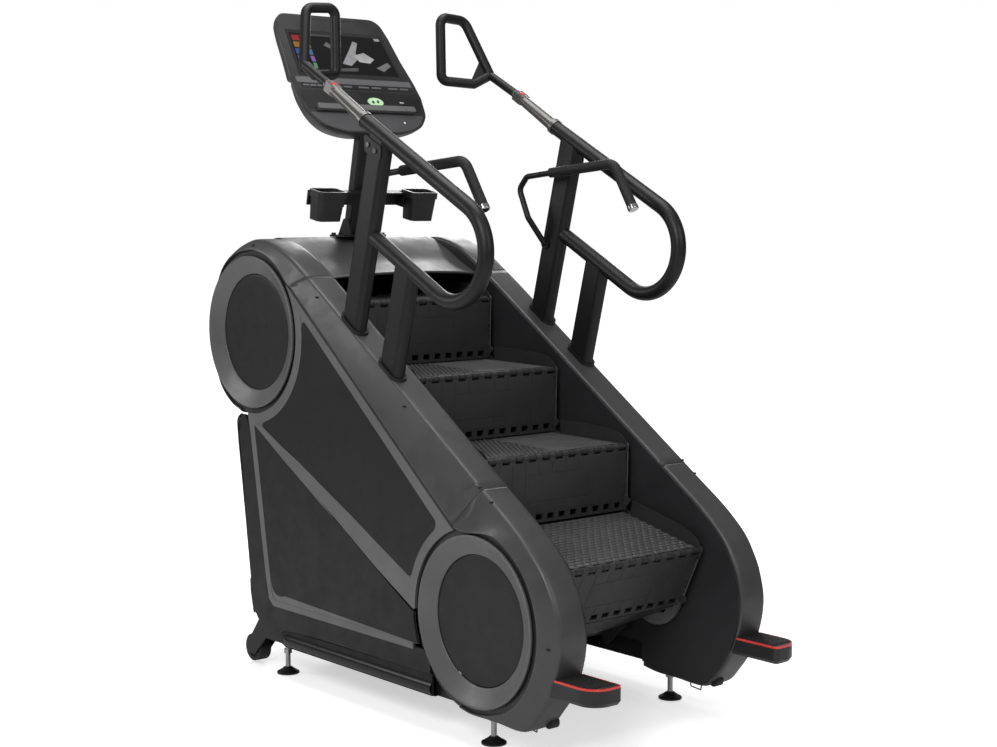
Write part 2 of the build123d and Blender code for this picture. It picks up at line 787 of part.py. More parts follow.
def shrunk(points, sides, bottom, top):
    """Half outline moved in at the sides, its lowest point raised and its highest lowered."""
    low, high = min(v for _, v in points), max(v for _, v in points)
    return [
        (u - sides, min(max(v, low + bottom), high - top) if v in (low, high) else v)
        for u, v in points
    ]


def symmetric_outline(points):
    """Closed outline from its right half, drawn in the active line context."""
    Polyline(*points, *[(-u, v) for u, v in reversed(points)], close=True)


def screen_outline(grow):
    """Right half of the screen outline, enlarged by grow."""
    (low_u, low_v), (high_u, high_v) = SCREEN
    return [(low_u + grow, low_v - grow), (high_u + grow, high_v + grow)]


def console_block(outline, sections, corner=None):
    """Block lofted between two sections, each (offset from the face, shrunk margins)."""
    with BuildPart() as block:
        for offset, margins in sections:
            with BuildSketch(FACE.offset(offset)) as section:
                with BuildLine():
                    symmetric_outline(shrunk(outline, *margins))
                make_face()
                if corner:
                    fillet(section.vertices().sort_by(Axis.Y)[-2:], corner)
        loft(ruled=True)
    return block.part


def console_housing():
    head_outer = console_block(
        HEAD_OUT, [(-4, (0, 0, 0)), (-52, (16, 16, 16))], HEAD_CORNER
    )
    head_inner = console_block(
        HEAD_OUT, [(-3.9, (4, 4, 4)), (-48, (20, 20, 20))], HEAD_CORNER - 3
    )
    body_outer = console_block(BODY_OUT, [(-4, (0, 0, 0)), (-84, (34, 34, 10))])
    body_inner = console_block(BODY_OUT, [(-3.9, (4, 4, 4)), (-80, (38, 38, 14))])
    with BuildPart() as mast_space:
        with BuildSketch(mast_plane):
            RectangleRounded(MAST_W + 2, MAST_D + 2, 9)
        extrude(amount=420)
    with BuildPart() as housing:
        add(head_outer)
        add(body_outer)
        # neck between the display head and the lower body
        with BuildSketch(FACE.offset(-10)):
            with Locations(NECK_AT):
                Rectangle(400, 40)
        extrude(amount=-36)
        add(head_inner, mode=Mode.SUBTRACT)
        add(body_inner, mode=Mode.SUBTRACT)
        with BuildSketch(FACE.offset(-14)):
            with Locations(NECK_AT):
                Rectangle(392, 60)
        extrude(amount=-28, mode=Mode.SUBTRACT)
        add(mast_space.part, mode=Mode.SUBTRACT)
    return housing.part


def console_bezel():
    thick = 3.8
    with BuildPart() as bezel:
        with BuildSketch(FACE.offset(-thick)) as plate_face:
            with BuildLine():
                symmetric_outline(HEAD_OUT[::-1] + BODY_OUT)
            make_face()
            fillet(plate_face.vertices().sort_by(Axis.Y)[-2:], HEAD_CORNER)
            fillet(plate_face.vertices().sort_by(Axis.Y)[:6], 75)
        extrude(amount=thick)
        # recess for the screen, then the smaller window behind it
        with BuildSketch(FACE.offset(-2.6)):
            with BuildLine():
                symmetric_outline(screen_outline(0.3))
            make_face()
        extrude(amount=5, mode=Mode.SUBTRACT)
        with BuildSketch(FACE.offset(-6)):
            with BuildLine():
                (low_u, low_v), (high_u, high_v) = SCREEN
                symmetric_outline([(low_u - 6, low_v + 6), (high_u - 6, high_v - 6)])
            make_face()
        extrude(amount=8, mode=Mode.SUBTRACT)
        # hole for the start button
        with BuildSketch(FACE.offset(-6)):
            with Locations(START_AT):
                Ellipse(32.5, 18.5)
        extrude(amount=8, mode=Mode.SUBTRACT)
    return bezel.part


def touch_screen():
    with BuildPart() as screen:
        with BuildSketch(FACE.offset(-2.5)):
            with BuildLine():
                symmetric_outline(SCREEN)
            make_face()
        extrude(amount=2.3)
    return screen.part


def console_ledge():
    with BuildPart() as ledge:
        with BuildSketch(FACE.offset(0.1)):
            with Locations((0, -11.5)):
                RectangleRounded(396, 21, 4)
        extrude(amount=12)
    return ledge.part


def start_button():
    with BuildPart() as button:
        with BuildSketch(FACE.offset(-3)):
            with Locations(START_AT):
                Ellipse(32, 18)
        extrude(amount=5.5)
    return button.part


# ---------------------------------------------------------------- mast
MAST_GUSSET_PTS = [
    (632, TOP_Z + 7), (704, TOP_Z + 7), (672, TOP_Z + 62), (646, TOP_Z + 62),
]


def mast():
    with BuildPart() as tube:
        with BuildSketch(mast_plane):
            RectangleRounded(MAST_W, MAST_D, 8)
            RectangleRounded(
                MAST_W - 2 * TUBE_WALL, MAST_D - 2 * TUBE_WALL, 5, mode=Mode.SUBTRACT
            )
        extrude(amount=353)
        # head plate that carries the console
        with BuildSketch(FACE.offset(-34)):
            with Locations((0, -44)):
                Rectangle(150, 74)
        extrude(amount=5)
        split(bisect_by=Plane(origin=(0, 0, TOP_Z + 2), z_dir=(0, 0, 1)), keep=Keep.TOP)
    with BuildPart() as whole:
        add(tube.part)
        # foot flange with gussets, standing on the hood
        with BuildSketch(Plane.XY.offset(TOP_Z + 1.6)):
            with Locations((0, 667)):
                RectangleRounded(172, 100, 12)
        extrude(amount=7)
        for x in (MAST_W / 2 - 1, -MAST_W / 2 - 6):
            slab(x, MAST_GUSSET_PTS, 7)
    return whole.part


# ---------------------------------------------------------------- cup holders
# cups and their bar stand square to the leaning mast
CUP_X, CUP_Y = 186.3, -66.8      # centre of a cup across the mast and in front of it
CUP_TOP, CUP_DEEP = 172.0, 98.0  # rim height along the mast and depth of a cup
# lofted sections: height along the mast, shift in x, width, depth, corner radius
CUP_OUTSIDE = [(CUP_TOP - CUP_DEEP, 3, 92, 62, 16), (CUP_TOP - 2, 2, 104, 71, 16)]
CUP_INSIDE = [(CUP_TOP - CUP_DEEP + 4, 3, 85, 55, 13), (CUP_TOP + 1, 1.5, 99, 65, 13)]


def holder_crossbar():
    with BuildPart() as crossbar:
        with BuildSketch(mast_plane.offset(116)):
            with Locations((0, -MAST_D / 2 - 4.2)):
                Rectangle(474, 8)
            with Locations((0, -48)):
                Rectangle(248, 40)
        extrude(amount=48)
        # hollow under the tray between the cups
        with BuildSketch(mast_plane.offset(110)):
            with Locations((0, -50)):
                Rectangle(240, 36)
        extrude(amount=49, mode=Mode.SUBTRACT)
    return crossbar.part


def cup_holders():
    with BuildPart() as cups:
        for height, shift, width, depth, radius in CUP_OUTSIDE:
            with BuildSketch(mast_plane.offset(height)):
                with Locations((CUP_X + shift, CUP_Y)):
                    RectangleRounded(width, depth, radius)
        loft(ruled=True)
        # rim
        with BuildSketch(mast_plane.offset(CUP_TOP - 22)):
            with Locations((CUP_X, CUP_Y)):
                RectangleRounded(114, 75.5, 18)
        extrude(amount=22)
        for height, shift, width, depth, radius in CUP_INSIDE:
            with BuildSketch(mast_plane.offset(height)):
                with Locations((CUP_X + shift, CUP_Y)):
                    RectangleRounded(width, depth, radius)
        loft(ruled=True, mode=Mode.SUBTRACT)
        mirror(about=Plane.YZ)
    return cups.part


# ---------------------------------------------------------------- foot pods
POD_X = (306, 413)       # inner and outer side of the right pod
POD_REAR = -690
POD_INNER_R, POD_OUTER_R = 15, 62    # radii of the two front corners
POD_TOP = 249.2          # underside of the tread and light
POD_RIM = 5.1            # distance of the tread from the pod's edge

with BuildPart() as nose_space:
    with BuildSketch(Plane.YZ.offset(285)):
        with BuildLine():
            near = inset(NOSE_PTS, -0.3)
            Spline(*near, tangents=[NOSE_DIR, RIDGE_DIR])
            Polyline(near[-1], (0, 703), (0, 83), near[0])
        make_face()
    extrude(amount=150)


def pod_outline(section, margin, inner_radius, outer_radius):
    """Pod outline moved in by margin, drawn in the active sketch, which is section."""
    inner, outer = POD_X[0] + margin, POD_X[1] - margin
    front = -REACH + margin
    Polygon((inner, POD_REAR), (inner, front), (outer, front), (outer, POD_REAR), align=None)
    fillet(section.vertices().sort_by(Axis.Y)[:2].sort_by(Axis.X)[0], inner_radius)
    fillet(section.vertices().sort_by(Axis.X)[-2:].sort_by(Axis.Y)[0], outer_radius)


def pod_slab(z, margin, height):
    """Slab with the pod outline moved in by margin, added to the active part."""
    with BuildSketch(Plane.XY.offset(z)) as section:
        pod_outline(section, margin, POD_INNER_R - margin, POD_OUTER_R - margin)
    extrude(section.sketch, amount=height)


def foot_pods():
    with BuildPart() as lower:
        with BuildSketch(Plane.XY.offset(204)) as bottom:
            pod_outline(bottom, 7, 9, 55)
        with BuildSketch(Plane.XY.offset(214)) as top:
            pod_outline(top, 0, POD_INNER_R, POD_OUTER_R)
        loft(ruled=True)
    with BuildPart() as pods:
        add(lower.part)
        pod_slab(214, 0, 35)
        add(nose_space.part, mode=Mode.SUBTRACT)
        mirror(about=Plane.YZ)
    return pods.part


def pod_lights():
    """Light strip around the edge of each pod."""
    with BuildPart() as inside:
        pod_slab(248, 4.8, 9)
    with BuildPart() as lights:
        pod_slab(POD_TOP, 0.5, 5.8)
        add(inside.part, mode=Mode.SUBTRACT)
        add(nose_space.part, mode=Mode.SUBTRACT)
        mirror(about=Plane.YZ)
    return lights.part


def pod_treads():
    tread_t = 6
    with BuildPart() as limit:
        pod_slab(243, POD_RIM, 30)
    with BuildPart() as pads:
        pod_slab(POD_TOP, POD_RIM, tread_t)
        # moulded ribs along the pod
        with BuildSketch(Plane.XY.offset(POD_TOP + tread_t)):
            for i in range(9):
                with Locations((319 + i * 10, -815)):
                    Rectangle(5, 170)
        extrude(amount=2.5)
        add(limit.part, mode=Mode.INTERSECT)
        add(nose_space.part, mode=Mode.SUBTRACT)
        mirror(about=Plane.YZ)
    return pads.part


# ---------------------------------------------------------------- feet and transport wheels
def levelling_foot(x, y):
    """Levelling foot standing on the floor."""
    with BuildPart() as foot:
        with BuildSketch(Plane.XY):
            with Locations((x, y)):
                Circle(FOOT_R)
        extrude(amount=5)
        # domed upper side of the rubber pad: height and radius of each section
        dome = []
        for z, radius in ((5, FOOT_R), (13, FOOT_R * 0.62), (21, 12)):
            dome.append(level_circle(x, y, z, radius))
        loft(sections=dome[:2], ruled=True)
        loft(sections=dome[1:], ruled=True)
        with BuildSketch(Plane.XY.offset(16)):
            with Locations((x, y)):
                Circle(STEM_R)
        extrude(amount=119)
        # nut
        with BuildSketch(Plane.XY.offset(66)):
            with Locations((x, y)):
                RegularPolygon(14, 6)
        extrude(amount=13)
    return foot.part


def level_circle(x, y, z, radius):
    """Horizontal circular face that joins no part."""
    with BuildSketch(Plane.XY.offset(z)) as circle:
        with Locations((x, y)):
            Circle(radius)
    return circle.sketch.face()


def transport_wheel():
    x, width, dish = 345, 41, 5
    with BuildPart() as wheel:
        disc(x, WHEEL_CENTRE, WHEEL_R, width, bore=AXLE_R + RUN_FIT)
        # dished sides
        for side_x in (x, x + width - dish):
            disc(side_x, WHEEL_CENTRE, 32, dish, bore=14, mode=Mode.SUBTRACT)
    return wheel.part


# ---------------------------------------------------------------- revolving steps
# Nose and inner corner (y, z) of each step in order along the loop; the first hangs under
# the lower sprocket and the others climb the exposed run. A tread joins a step's corner and
# nose, a riser joins the nose and the corner of the step before.
NOSES = [(-227, 174), (-646, 503)] + [
    (-335 + i * STEP_RUN, 783 + i * STEP_RISE) for i in range(3)
]
CORNERS = [(-548, 318)] + [
    (-321 + i * STEP_RUN, 575 + i * STEP_RISE) for i in range(3)
] + [(650, 1212)]
FIRST_RISER_END = (-211, 382)
STEPS = range(len(NOSES))
# side flanges of the risers, as distance behind the nose and height above the tread
FIRST_FLANGE = [(-1, -34), (-1, 18), (5, 38), (12, 40), (120, 8), (120, -10), (24, -34)]
FLANGE = [
    (-1, -34), (-1, 2), (8, 14), (22, 25), (50, 35), (100, 41), (200, 44), (300, 44),
    (300, -16), (120, -18), (24, -34),
]
TREAD_KNUCKLES = [KNUCKLE_PITCH * i for i in range(-5, 6)]
RISER_KNUCKLES = [KNUCKLE_PITCH // 2 + KNUCKLE_PITCH * i for i in range(-5, 5)]


def along(start, end):
    """Unit vector from start to end, the outward normal of the plate between, its length."""
    length = math.hypot(end[0] - start[0], end[1] - start[1])
    unit = ((end[0] - start[0]) / length, (end[1] - start[1]) / length)
    return unit, (unit[1], -unit[0]), length


def offset_point(point, *moves):
    """The point after moves, each (distance, unit vector)."""
    y, z = point
    for distance, unit in moves:
        y, z = y + unit[0] * distance, z + unit[1] * distance
    return (y, z)


def plate(start, end, start_gap, end_gap, thick, half):
    """Flat plate whose outer face lies on the line start to end, added to the active part."""
    unit, out, length = along(start, end)
    near, far = (start_gap, unit), (length - end_gap, unit)
    points = [
        offset_point(start, near),
        offset_point(start, far),
        offset_point(start, far, (-thick, out)),
        offset_point(start, near, (-thick, out)),
    ]
    slab(-half, points, 2 * half)


def riser_end(k):
    """Corner at the far end of the riser of step k."""
    return CORNERS[k - 1] if k > 0 else FIRST_RISER_END


def pin_of(k):
    """Centre of the hinge pin of step k, set in from the nose."""
    _, tread_out, _ = along(CORNERS[k], NOSES[k])
    _, riser_out, _ = along(NOSES[k], riser_end(k))
    return offset_point(NOSES[k], (-PIN_INSET, tread_out), (-PIN_INSET, riser_out))


def knuckles(centre, toward, out, positions, depth):
    """Hinge knuckles around a pin centre with webs back to the plate."""
    base = offset_point(centre, (7.5, out))
    web = [
        base,
        offset_point(base, (WEB_REACH, toward)),
        offset_point(base, (WEB_REACH, toward), (-depth, out)),
        offset_point(base, (-depth, out)),
    ]
    for x in positions:
        with BuildSketch(Plane.YZ.offset(x - KNUCKLE_W / 2)) as ring:
            with Locations(centre):
                Circle(KNUCKLE_R)
            with BuildLine():
                Polyline(*web, close=True)
            make_face()
            with Locations(centre):
                Circle(PIN_R + RUN_FIT, mode=Mode.SUBTRACT)
        extrude(ring.sketch, amount=KNUCKLE_W)


def treads():
    with BuildPart() as plates:
        for k in STEPS:
            plate(CORNERS[k], NOSES[k], 8, PIN_END, TREAD_T, STEP_HALF)
            unit, out, _ = along(CORNERS[k], NOSES[k])
            knuckles(pin_of(k), (-unit[0], -unit[1]), out, TREAD_KNUCKLES, 13)
    return plates.part


def flange_points(k):
    """Side view of the flanges of step k."""
    inward, down, _ = along(NOSES[k], CORNERS[k])
    flange = FLANGE if k > 0 else FIRST_FLANGE
    return [offset_point(NOSES[k], (behind, inward), (-above, down)) for behind, above in flange]


def risers():
    with BuildPart() as plates:
        for k in STEPS:
            plate(NOSES[k], riser_end(k), PIN_END, 2, RISER_T, STEP_HALF + 2.5)
            unit, out, _ = along(NOSES[k], riser_end(k))
            knuckles(pin_of(k), unit, out, RISER_KNUCKLES, RISER_T - 1)
            # flanges at both ends, standing above the tread
            for x in (STEP_HALF + 0.5, -STEP_HALF - 2.5):
                with BuildSketch(Plane.YZ.offset(x)):
                    with BuildLine():
                        Polyline(*flange_points(k), close=True)
                    make_face()
                    with Locations(pin_of(k)):
                        Circle(PIN_R + RUN_FIT, mode=Mode.SUBTRACT)
                extrude(amount=2)
        # row of windows along the far end of each riser but the first
        for k in STEPS[1:]:
            unit, out, _ = along(NOSES[k], CORNERS[k - 1])
            row = offset_point(CORNERS[k - 1], (-20, unit), (2, out))
            with BuildSketch(Plane(origin=(0, *row), x_dir=(1, 0, 0), z_dir=(0, *out))):
                with GridLocations(46, 10, 12, 1):
                    Rectangle(26, 18)
            extrude(amount=-14, mode=Mode.SUBTRACT)
    return plates.part


def hinge_pins():
    with BuildPart() as pins:
        for k in STEPS:
            disc(-PIN_HALF, pin_of(k), PIN_R, 2 * PIN_HALF)
    return pins.part


def step_side_arms():
    """Arms from each hinge pin to the far end of the riser, on both sides."""
    arm_x, arm_t, half_width = STEP_HALF + 3, 4, 11
    with BuildPart() as arms:
        for k in STEPS:
            pin, end = pin_of(k), riser_end(k)
            _, out, _ = along(pin, end)
            with BuildSketch(Plane.YZ.offset(arm_x)):
                with Locations(pin, end):
                    Circle(12)
                with BuildLine():
                    Polyline(
                        offset_point(pin, (half_width, out)),
                        offset_point(end, (half_width, out)),
                        offset_point(end, (-half_width, out)),
                        offset_point(pin, (-half_width, out)),
                        close=True,
                    )
                make_face()
                with Locations(pin):
                    Circle(PIN_R + RUN_FIT, mode=Mode.SUBTRACT)
            extrude(amount=arm_t)
            disc(arm_x + arm_t, end, 5, 3)
        mirror(about=Plane.YZ)
    return arms.part


# steps on the return side of the loop, hidden behind the covers
RETURN = [FIRST_RISER_END, (129, 390), (112, 598), (452, 606), (435, 814)]


def return_steps():
    with BuildPart() as steps:
        plate(RETURN[0], RETURN[1], 30, 0, TREAD_T, STEP_HALF)
        plate(RETURN[1], RETURN[2], 0, 0, RISER_T, STEP_HALF)
        plate(RETURN[2], RETURN[3], 0, 0, TREAD_T, STEP_HALF)
        plate(RETURN[3], RETURN[4], 0, 0, RISER_T, STEP_HALF)
    return steps.part


# ---------------------------------------------------------------- chains, shafts and drive
def loop_ring(centre0, radius0, centre1, radius1, thick):
    """Closed band of the given thickness around two circles, drawn in the active sketch."""
    dy, dz = centre1[0] - centre0[0], centre1[1] - centre0[1]
    base = math.atan2(dz, dy)
    tilt = math.acos((radius0 - radius1) / math.hypot(dy, dz))
    for grow, how in ((thick, Mode.ADD), (0, Mode.SUBTRACT)):
        tangent_points = []
        for side in (1, -1):
            degrees = math.degrees(base + side * tilt)
            tangent_points.append(polar(centre0, radius0 + grow, degrees))
            tangent_points.append(polar(centre1, radius1 + grow, degrees))
        with Locations(centre0):
            Circle(radius0 + grow, mode=how)
        with Locations(centre1):
            Circle(radius1 + grow, mode=how)
        start0, start1, end0, end1 = tangent_points
        Polygon(start0, start1, end1, end0, align=None, mode=how)


def step_chains():
    with BuildPart() as chains:
        with BuildSketch(Plane.YZ.offset(CHAIN_X)):
            loop_ring(LOWER, CHAIN_R - 6, UPPER, CHAIN_R - 6, 12)
        extrude(amount=CHAIN_W)
        mirror(about=Plane.YZ)
    return chains.part


def sprocket_shaft(centre):
    """Shaft with a sprocket and a hub at each end."""
    shaft_half, hub_x, hub_w = 352, 282, 22
    with BuildPart() as shaft:
        disc(-shaft_half, centre, SHAFT_R, 2 * shaft_half)
        for x in (CHAIN_X, -CHAIN_X - CHAIN_W):
            disc(x, centre, CHAIN_R - 6.6, CHAIN_W, windows=(66, 17))
        for x in (hub_x, -hub_x - hub_w):
            disc(x, centre, SHAFT_R + 7, hub_w)
    return shaft.part


def bearings():
    with BuildPart() as blocks:
        for centre in (LOWER, UPPER):
            disc(BEARING_X, centre, 42, 9.8, bore=SHAFT_R + RUN_FIT)
        mirror(about=Plane.YZ)
    return blocks.part


def drive_pulley():
    with BuildPart() as pulley:
        disc(PULLEY_X, UPPER, PULLEY_R, PULLEY_W, bore=SHAFT_R + 0.02, windows=(72, 22))
    return pulley.part


def drive_belt():
    with BuildPart() as belt:
        with BuildSketch(Plane.YZ.offset(PULLEY_X + 2)):
            loop_ring(UPPER, PULLEY_R + 0.4, ALT_CENTRE, ALT_PULLEY_R + 0.4, 4)
        extrude(amount=PULLEY_W - 4)
    return belt.part


def alternator():
    with BuildPart() as body:
        disc(-280, ALT_CENTRE, 75, 124)
        # block below, down to near the cross tube
        with BuildSketch(Plane.YZ.offset(-270)):
            with Locations((ALT_Y, 198)):
                Rectangle(120, 68)
        extrude(amount=104)
        disc(-281, ALT_CENTRE, ALT_SHAFT_R + RUN_FIT, 140, mode=Mode.SUBTRACT)
    return body.part


def flywheel():
    """Alternator shaft with its small pulley and the flywheel."""
    with BuildPart() as rotor:
        disc(-340, ALT_CENTRE, ALT_SHAFT_R, 230)
        disc(PULLEY_X, ALT_CENTRE, ALT_PULLEY_R, PULLEY_W)
        disc(-148, ALT_CENTRE, 110, 30, windows=(66, 18))
    return rotor.part


# ---------------------------------------------------------------- bolts
def fasteners():
    with BuildPart() as bolts:
        # round heads on the rail brackets
        for centre in BRACKET_BOLTS:
            disc(RAIL_X + UPRIGHT_W / 2 + 3.8, centre, 7, 4)
        # hexagon heads on the mast flange
        for cy in (628, 706):
            with BuildSketch(Plane.XY.offset(TOP_Z + 8.7)):
                with Locations((72, cy)):
                    RegularPolygon(8.5, 6)
            extrude(amount=6.5)
        mirror(about=Plane.YZ)
    return bolts.part


# ---------------------------------------------------------------- named pieces, one file each
def save(name, part):
    part.label = name
    export_step(part, f"parts/{name}.step")


def save_pair(name, right):
    """Saves a right-hand piece and its mirror image."""
    save(f"{name}_right", right)
    save(f"{name}_left", mirrored(right))


# pieces whose function bears their name
for build in (
    base_frame, side_skirts, disc_rings, disc_inserts, lane_walls, top_hood, rear_cover,
    fasteners, upright_collars, hand_rails, rail_brackets, hand_grips, loop_handles,
    horn_bars, foam_grips, grip_end_caps, mast, console_housing, console_bezel,
    touch_screen, console_ledge, start_button, holder_crossbar, cup_holders, foot_pods,
    pod_treads, pod_lights, bearings, drive_pulley, drive_belt, alternator, flywheel,
    step_chains, treads, risers, hinge_pins, step_side_arms, return_steps,
):
    save(build.__name__, build())

for build in (side_trim, upper_side_panel, lower_side_panel, transport_wheel):
    save_pair(build.__name__, build())

shell = housing_shell()
save_pair("upper_side_cover", side_cover(shell, SEAM_GAP, Keep.TOP))
save_pair("lower_side_cover", side_cover(shell, -SEAM_GAP, Keep.BOTTOM))

save("rear_uprights", uprights(REAR_BASE, 730, RAIL_TOP))
save("front_uprights", uprights(FRONT_BASE, 480, RAIL_END))
save("upper_sprocket_shaft", sprocket_shaft(UPPER))
save("lower_sprocket_shaft", sprocket_shaft(LOWER))

button = stop_button()
save("stop_button", button)
save("speed_button", mirrored(button))

for place, (foot_x, foot_y) in (("front", FRONT_FOOT), ("rear", REAR_FOOT)):
    save(f"{place}_foot_right", levelling_foot(foot_x, foot_y))
    save(f"{place}_foot_left", levelling_foot(-foot_x, foot_y))
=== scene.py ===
# A stair-climbing exercise machine: steps between two moulded side housings, with a console.
# X runs across it (right is +X), Z is up. The low front end of the steps is at -Y and they
# climb towards +Y, where the hood and the console stand. Lengths are millimetres, scaled by
# MM as meshes are made, unless a comment says metres.
import bpy
import bmesh
import json
import math
import random
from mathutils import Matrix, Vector
from mathutils.bvhtree import BVHTree


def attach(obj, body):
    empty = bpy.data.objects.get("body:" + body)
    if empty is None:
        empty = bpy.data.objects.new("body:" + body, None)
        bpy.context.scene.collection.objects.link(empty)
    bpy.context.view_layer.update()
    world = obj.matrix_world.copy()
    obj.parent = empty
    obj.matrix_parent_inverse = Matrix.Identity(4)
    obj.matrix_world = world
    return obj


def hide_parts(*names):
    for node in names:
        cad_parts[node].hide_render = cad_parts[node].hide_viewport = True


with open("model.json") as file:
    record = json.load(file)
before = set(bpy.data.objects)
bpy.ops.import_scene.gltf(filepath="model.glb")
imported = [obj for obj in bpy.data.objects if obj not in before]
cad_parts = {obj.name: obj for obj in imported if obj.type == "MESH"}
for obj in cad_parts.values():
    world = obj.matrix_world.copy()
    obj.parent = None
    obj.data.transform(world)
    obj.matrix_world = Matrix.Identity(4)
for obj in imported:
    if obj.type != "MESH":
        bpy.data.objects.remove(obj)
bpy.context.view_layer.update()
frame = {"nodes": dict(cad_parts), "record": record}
NODES = frame["nodes"]
random.seed(11)

MM = 0.001
SIDES = (("right", 1), ("left", -1))  # side name and sign of its X

# Centres (y, z) of the round discs on each side
LOWER_DISC = (-446.0, 356.0)
UPPER_DISC = (675.0, 1104.0)


# ---------------------------------------------------------------- shader helpers
class ShaderTree:
    """A new material with one Principled shader, and short ways to add nodes."""

    def __init__(self, name):
        self.material = bpy.data.materials.new(name)
        self.material.use_nodes = True
        self.tree = self.material.node_tree
        self.tree.nodes.clear()
        output = self.tree.nodes.new("ShaderNodeOutputMaterial")
        self.shader = self.tree.nodes.new("ShaderNodeBsdfPrincipled")
        self.tree.links.new(self.shader.outputs[0], output.inputs[0])
        self.coords = self.tree.nodes.new("ShaderNodeTexCoord")

    def node(self, kind, **settings):
        """New node; names with a leading underscore are properties, the others inputs."""
        node = self.tree.nodes.new(kind)
        for key, value in settings.items():
            if key.startswith("_"):
                setattr(node, key[1:], value)
            else:
                node.inputs[key.replace("_", " ")].default_value = value
        return node

    def feed(self, socket, value):
        """Give an input a link, a colour or a number."""
        if isinstance(value, bpy.types.NodeSocket):
            self.tree.links.new(value, socket)
        elif isinstance(value, tuple):
            socket.default_value = (*value, 1.0)
        else:
            socket.default_value = value

    def feed_shader(self, **values):
        for key, value in values.items():
            self.feed(self.shader.inputs[key.replace("_", " ")], value)

    def noise(self, scale, detail, rough, stretch=None):
        texture = self.node("ShaderNodeTexNoise", Scale=scale, Detail=detail, Roughness=rough)
        source = self.coords.outputs["Object"]
        if stretch:
            mapping = self.node("ShaderNodeMapping", Scale=stretch)
            self.feed(mapping.inputs["Vector"], source)
            source = mapping.outputs["Vector"]
        self.feed(texture.inputs["Vector"], source)
        return texture.outputs["Fac"]

    def ramp(self, value, low, high, start=0.35, end=0.65):
        """Map start..end to low..high."""
        node = self.node("ShaderNodeMapRange", From_Min=start, From_Max=end,
                         To_Min=low, To_Max=high)
        self.feed(node.inputs["Value"], value)
        return node.outputs[0]

    def mix(self, factor, first, second):
        node = self.node("ShaderNodeMix", _data_type="RGBA")
        self.feed(node.inputs[6], first)
        self.feed(node.inputs[7], second)
        self.feed(node.inputs[0], factor)
        return node.outputs[2]

    def math(self, operation, first, second):
        node = self.node("ShaderNodeMath", _operation=operation)
        self.feed(node.inputs[0], first)
        self.feed(node.inputs[1], second)
        return node.outputs[0]

    def bump(self, height, strength, distance):
        node = self.node("ShaderNodeBump", Strength=strength, Distance=distance)
        self.feed(node.inputs["Height"], height)
        return node.outputs[0]

    def edge_highlight_mask(self, radius):
        """Bright along edges, where the bevelled normal leaves the true one (metres): a mask for
        a painted highlight.
        """
        bevel = self.node("ShaderNodeBevel", _samples=4, Radius=radius)
        geometry = self.node("ShaderNodeNewGeometry")
        dot = self.node("ShaderNodeVectorMath", _operation="DOT_PRODUCT")
        self.feed(dot.inputs[0], bevel.outputs[0])
        self.feed(dot.inputs[1], geometry.outputs["Normal"])
        return self.ramp(dot.outputs["Value"], low=1.0, high=0.0, start=0.86, end=0.995)


# ---------------------------------------------------------------- materials
def finish(name, colour, rough=0.45, metallic=0.0, spread=0.12, grain=900.0, grain_bump=0.08,
           rough_spread=0.07, coat=0.0, spec=0.5, edge=None, smudge=3.0, brushed=None):
    """Surface with broad patches and fine grain.

    spread and rough_spread are how far colour and roughness vary, smudge and grain the scales
    of the patches and the grain, edge the (strength, radius) of a painted highlight along the
    edges and brushed the stretch of the grain.
    """
    net = ShaderTree(name)
    patches = net.noise(scale=smudge, detail=4.0, rough=0.6)
    fine = net.noise(scale=grain, detail=2.0, rough=0.6, stretch=brushed)
    darker = tuple(c * (1 - spread) for c in colour)
    lighter = tuple(min(1.0, c * (1 + spread)) for c in colour)
    speck = tuple(min(1.0, c * 1.7 + 0.004) for c in colour)
    # paler colour for the painted highlight along edges
    painted_edge_highlight = tuple(min(1.0, c * 2.0 + 0.05) for c in colour)

    patched = net.mix(net.ramp(patches, 0.0, 1.0), darker, lighter)
    surface = net.mix(net.ramp(fine, 0.0, 0.25, start=0.45, end=0.75), patched, speck)
    # painted highlight: the edges are mixed towards the paler colour
    if edge:
        strength, radius = edge
        surface = net.mix(net.math("MULTIPLY", net.edge_highlight_mask(radius), strength), surface, painted_edge_highlight)
    net.feed_shader(Base_Color=surface)

    smears = net.noise(scale=smudge * 5, detail=3.0, rough=0.65)
    net.feed_shader(Roughness=net.math(
        "ADD", net.ramp(smears, rough - rough_spread, rough + rough_spread),
        net.ramp(fine, -0.02, 0.03)))
    net.feed_shader(
        Metallic=metallic, Specular_IOR_Level=spec, Coat_Weight=coat, Coat_Roughness=0.12,
        Normal=net.bump(fine, strength=grain_bump, distance=0.0004))
    return net.material


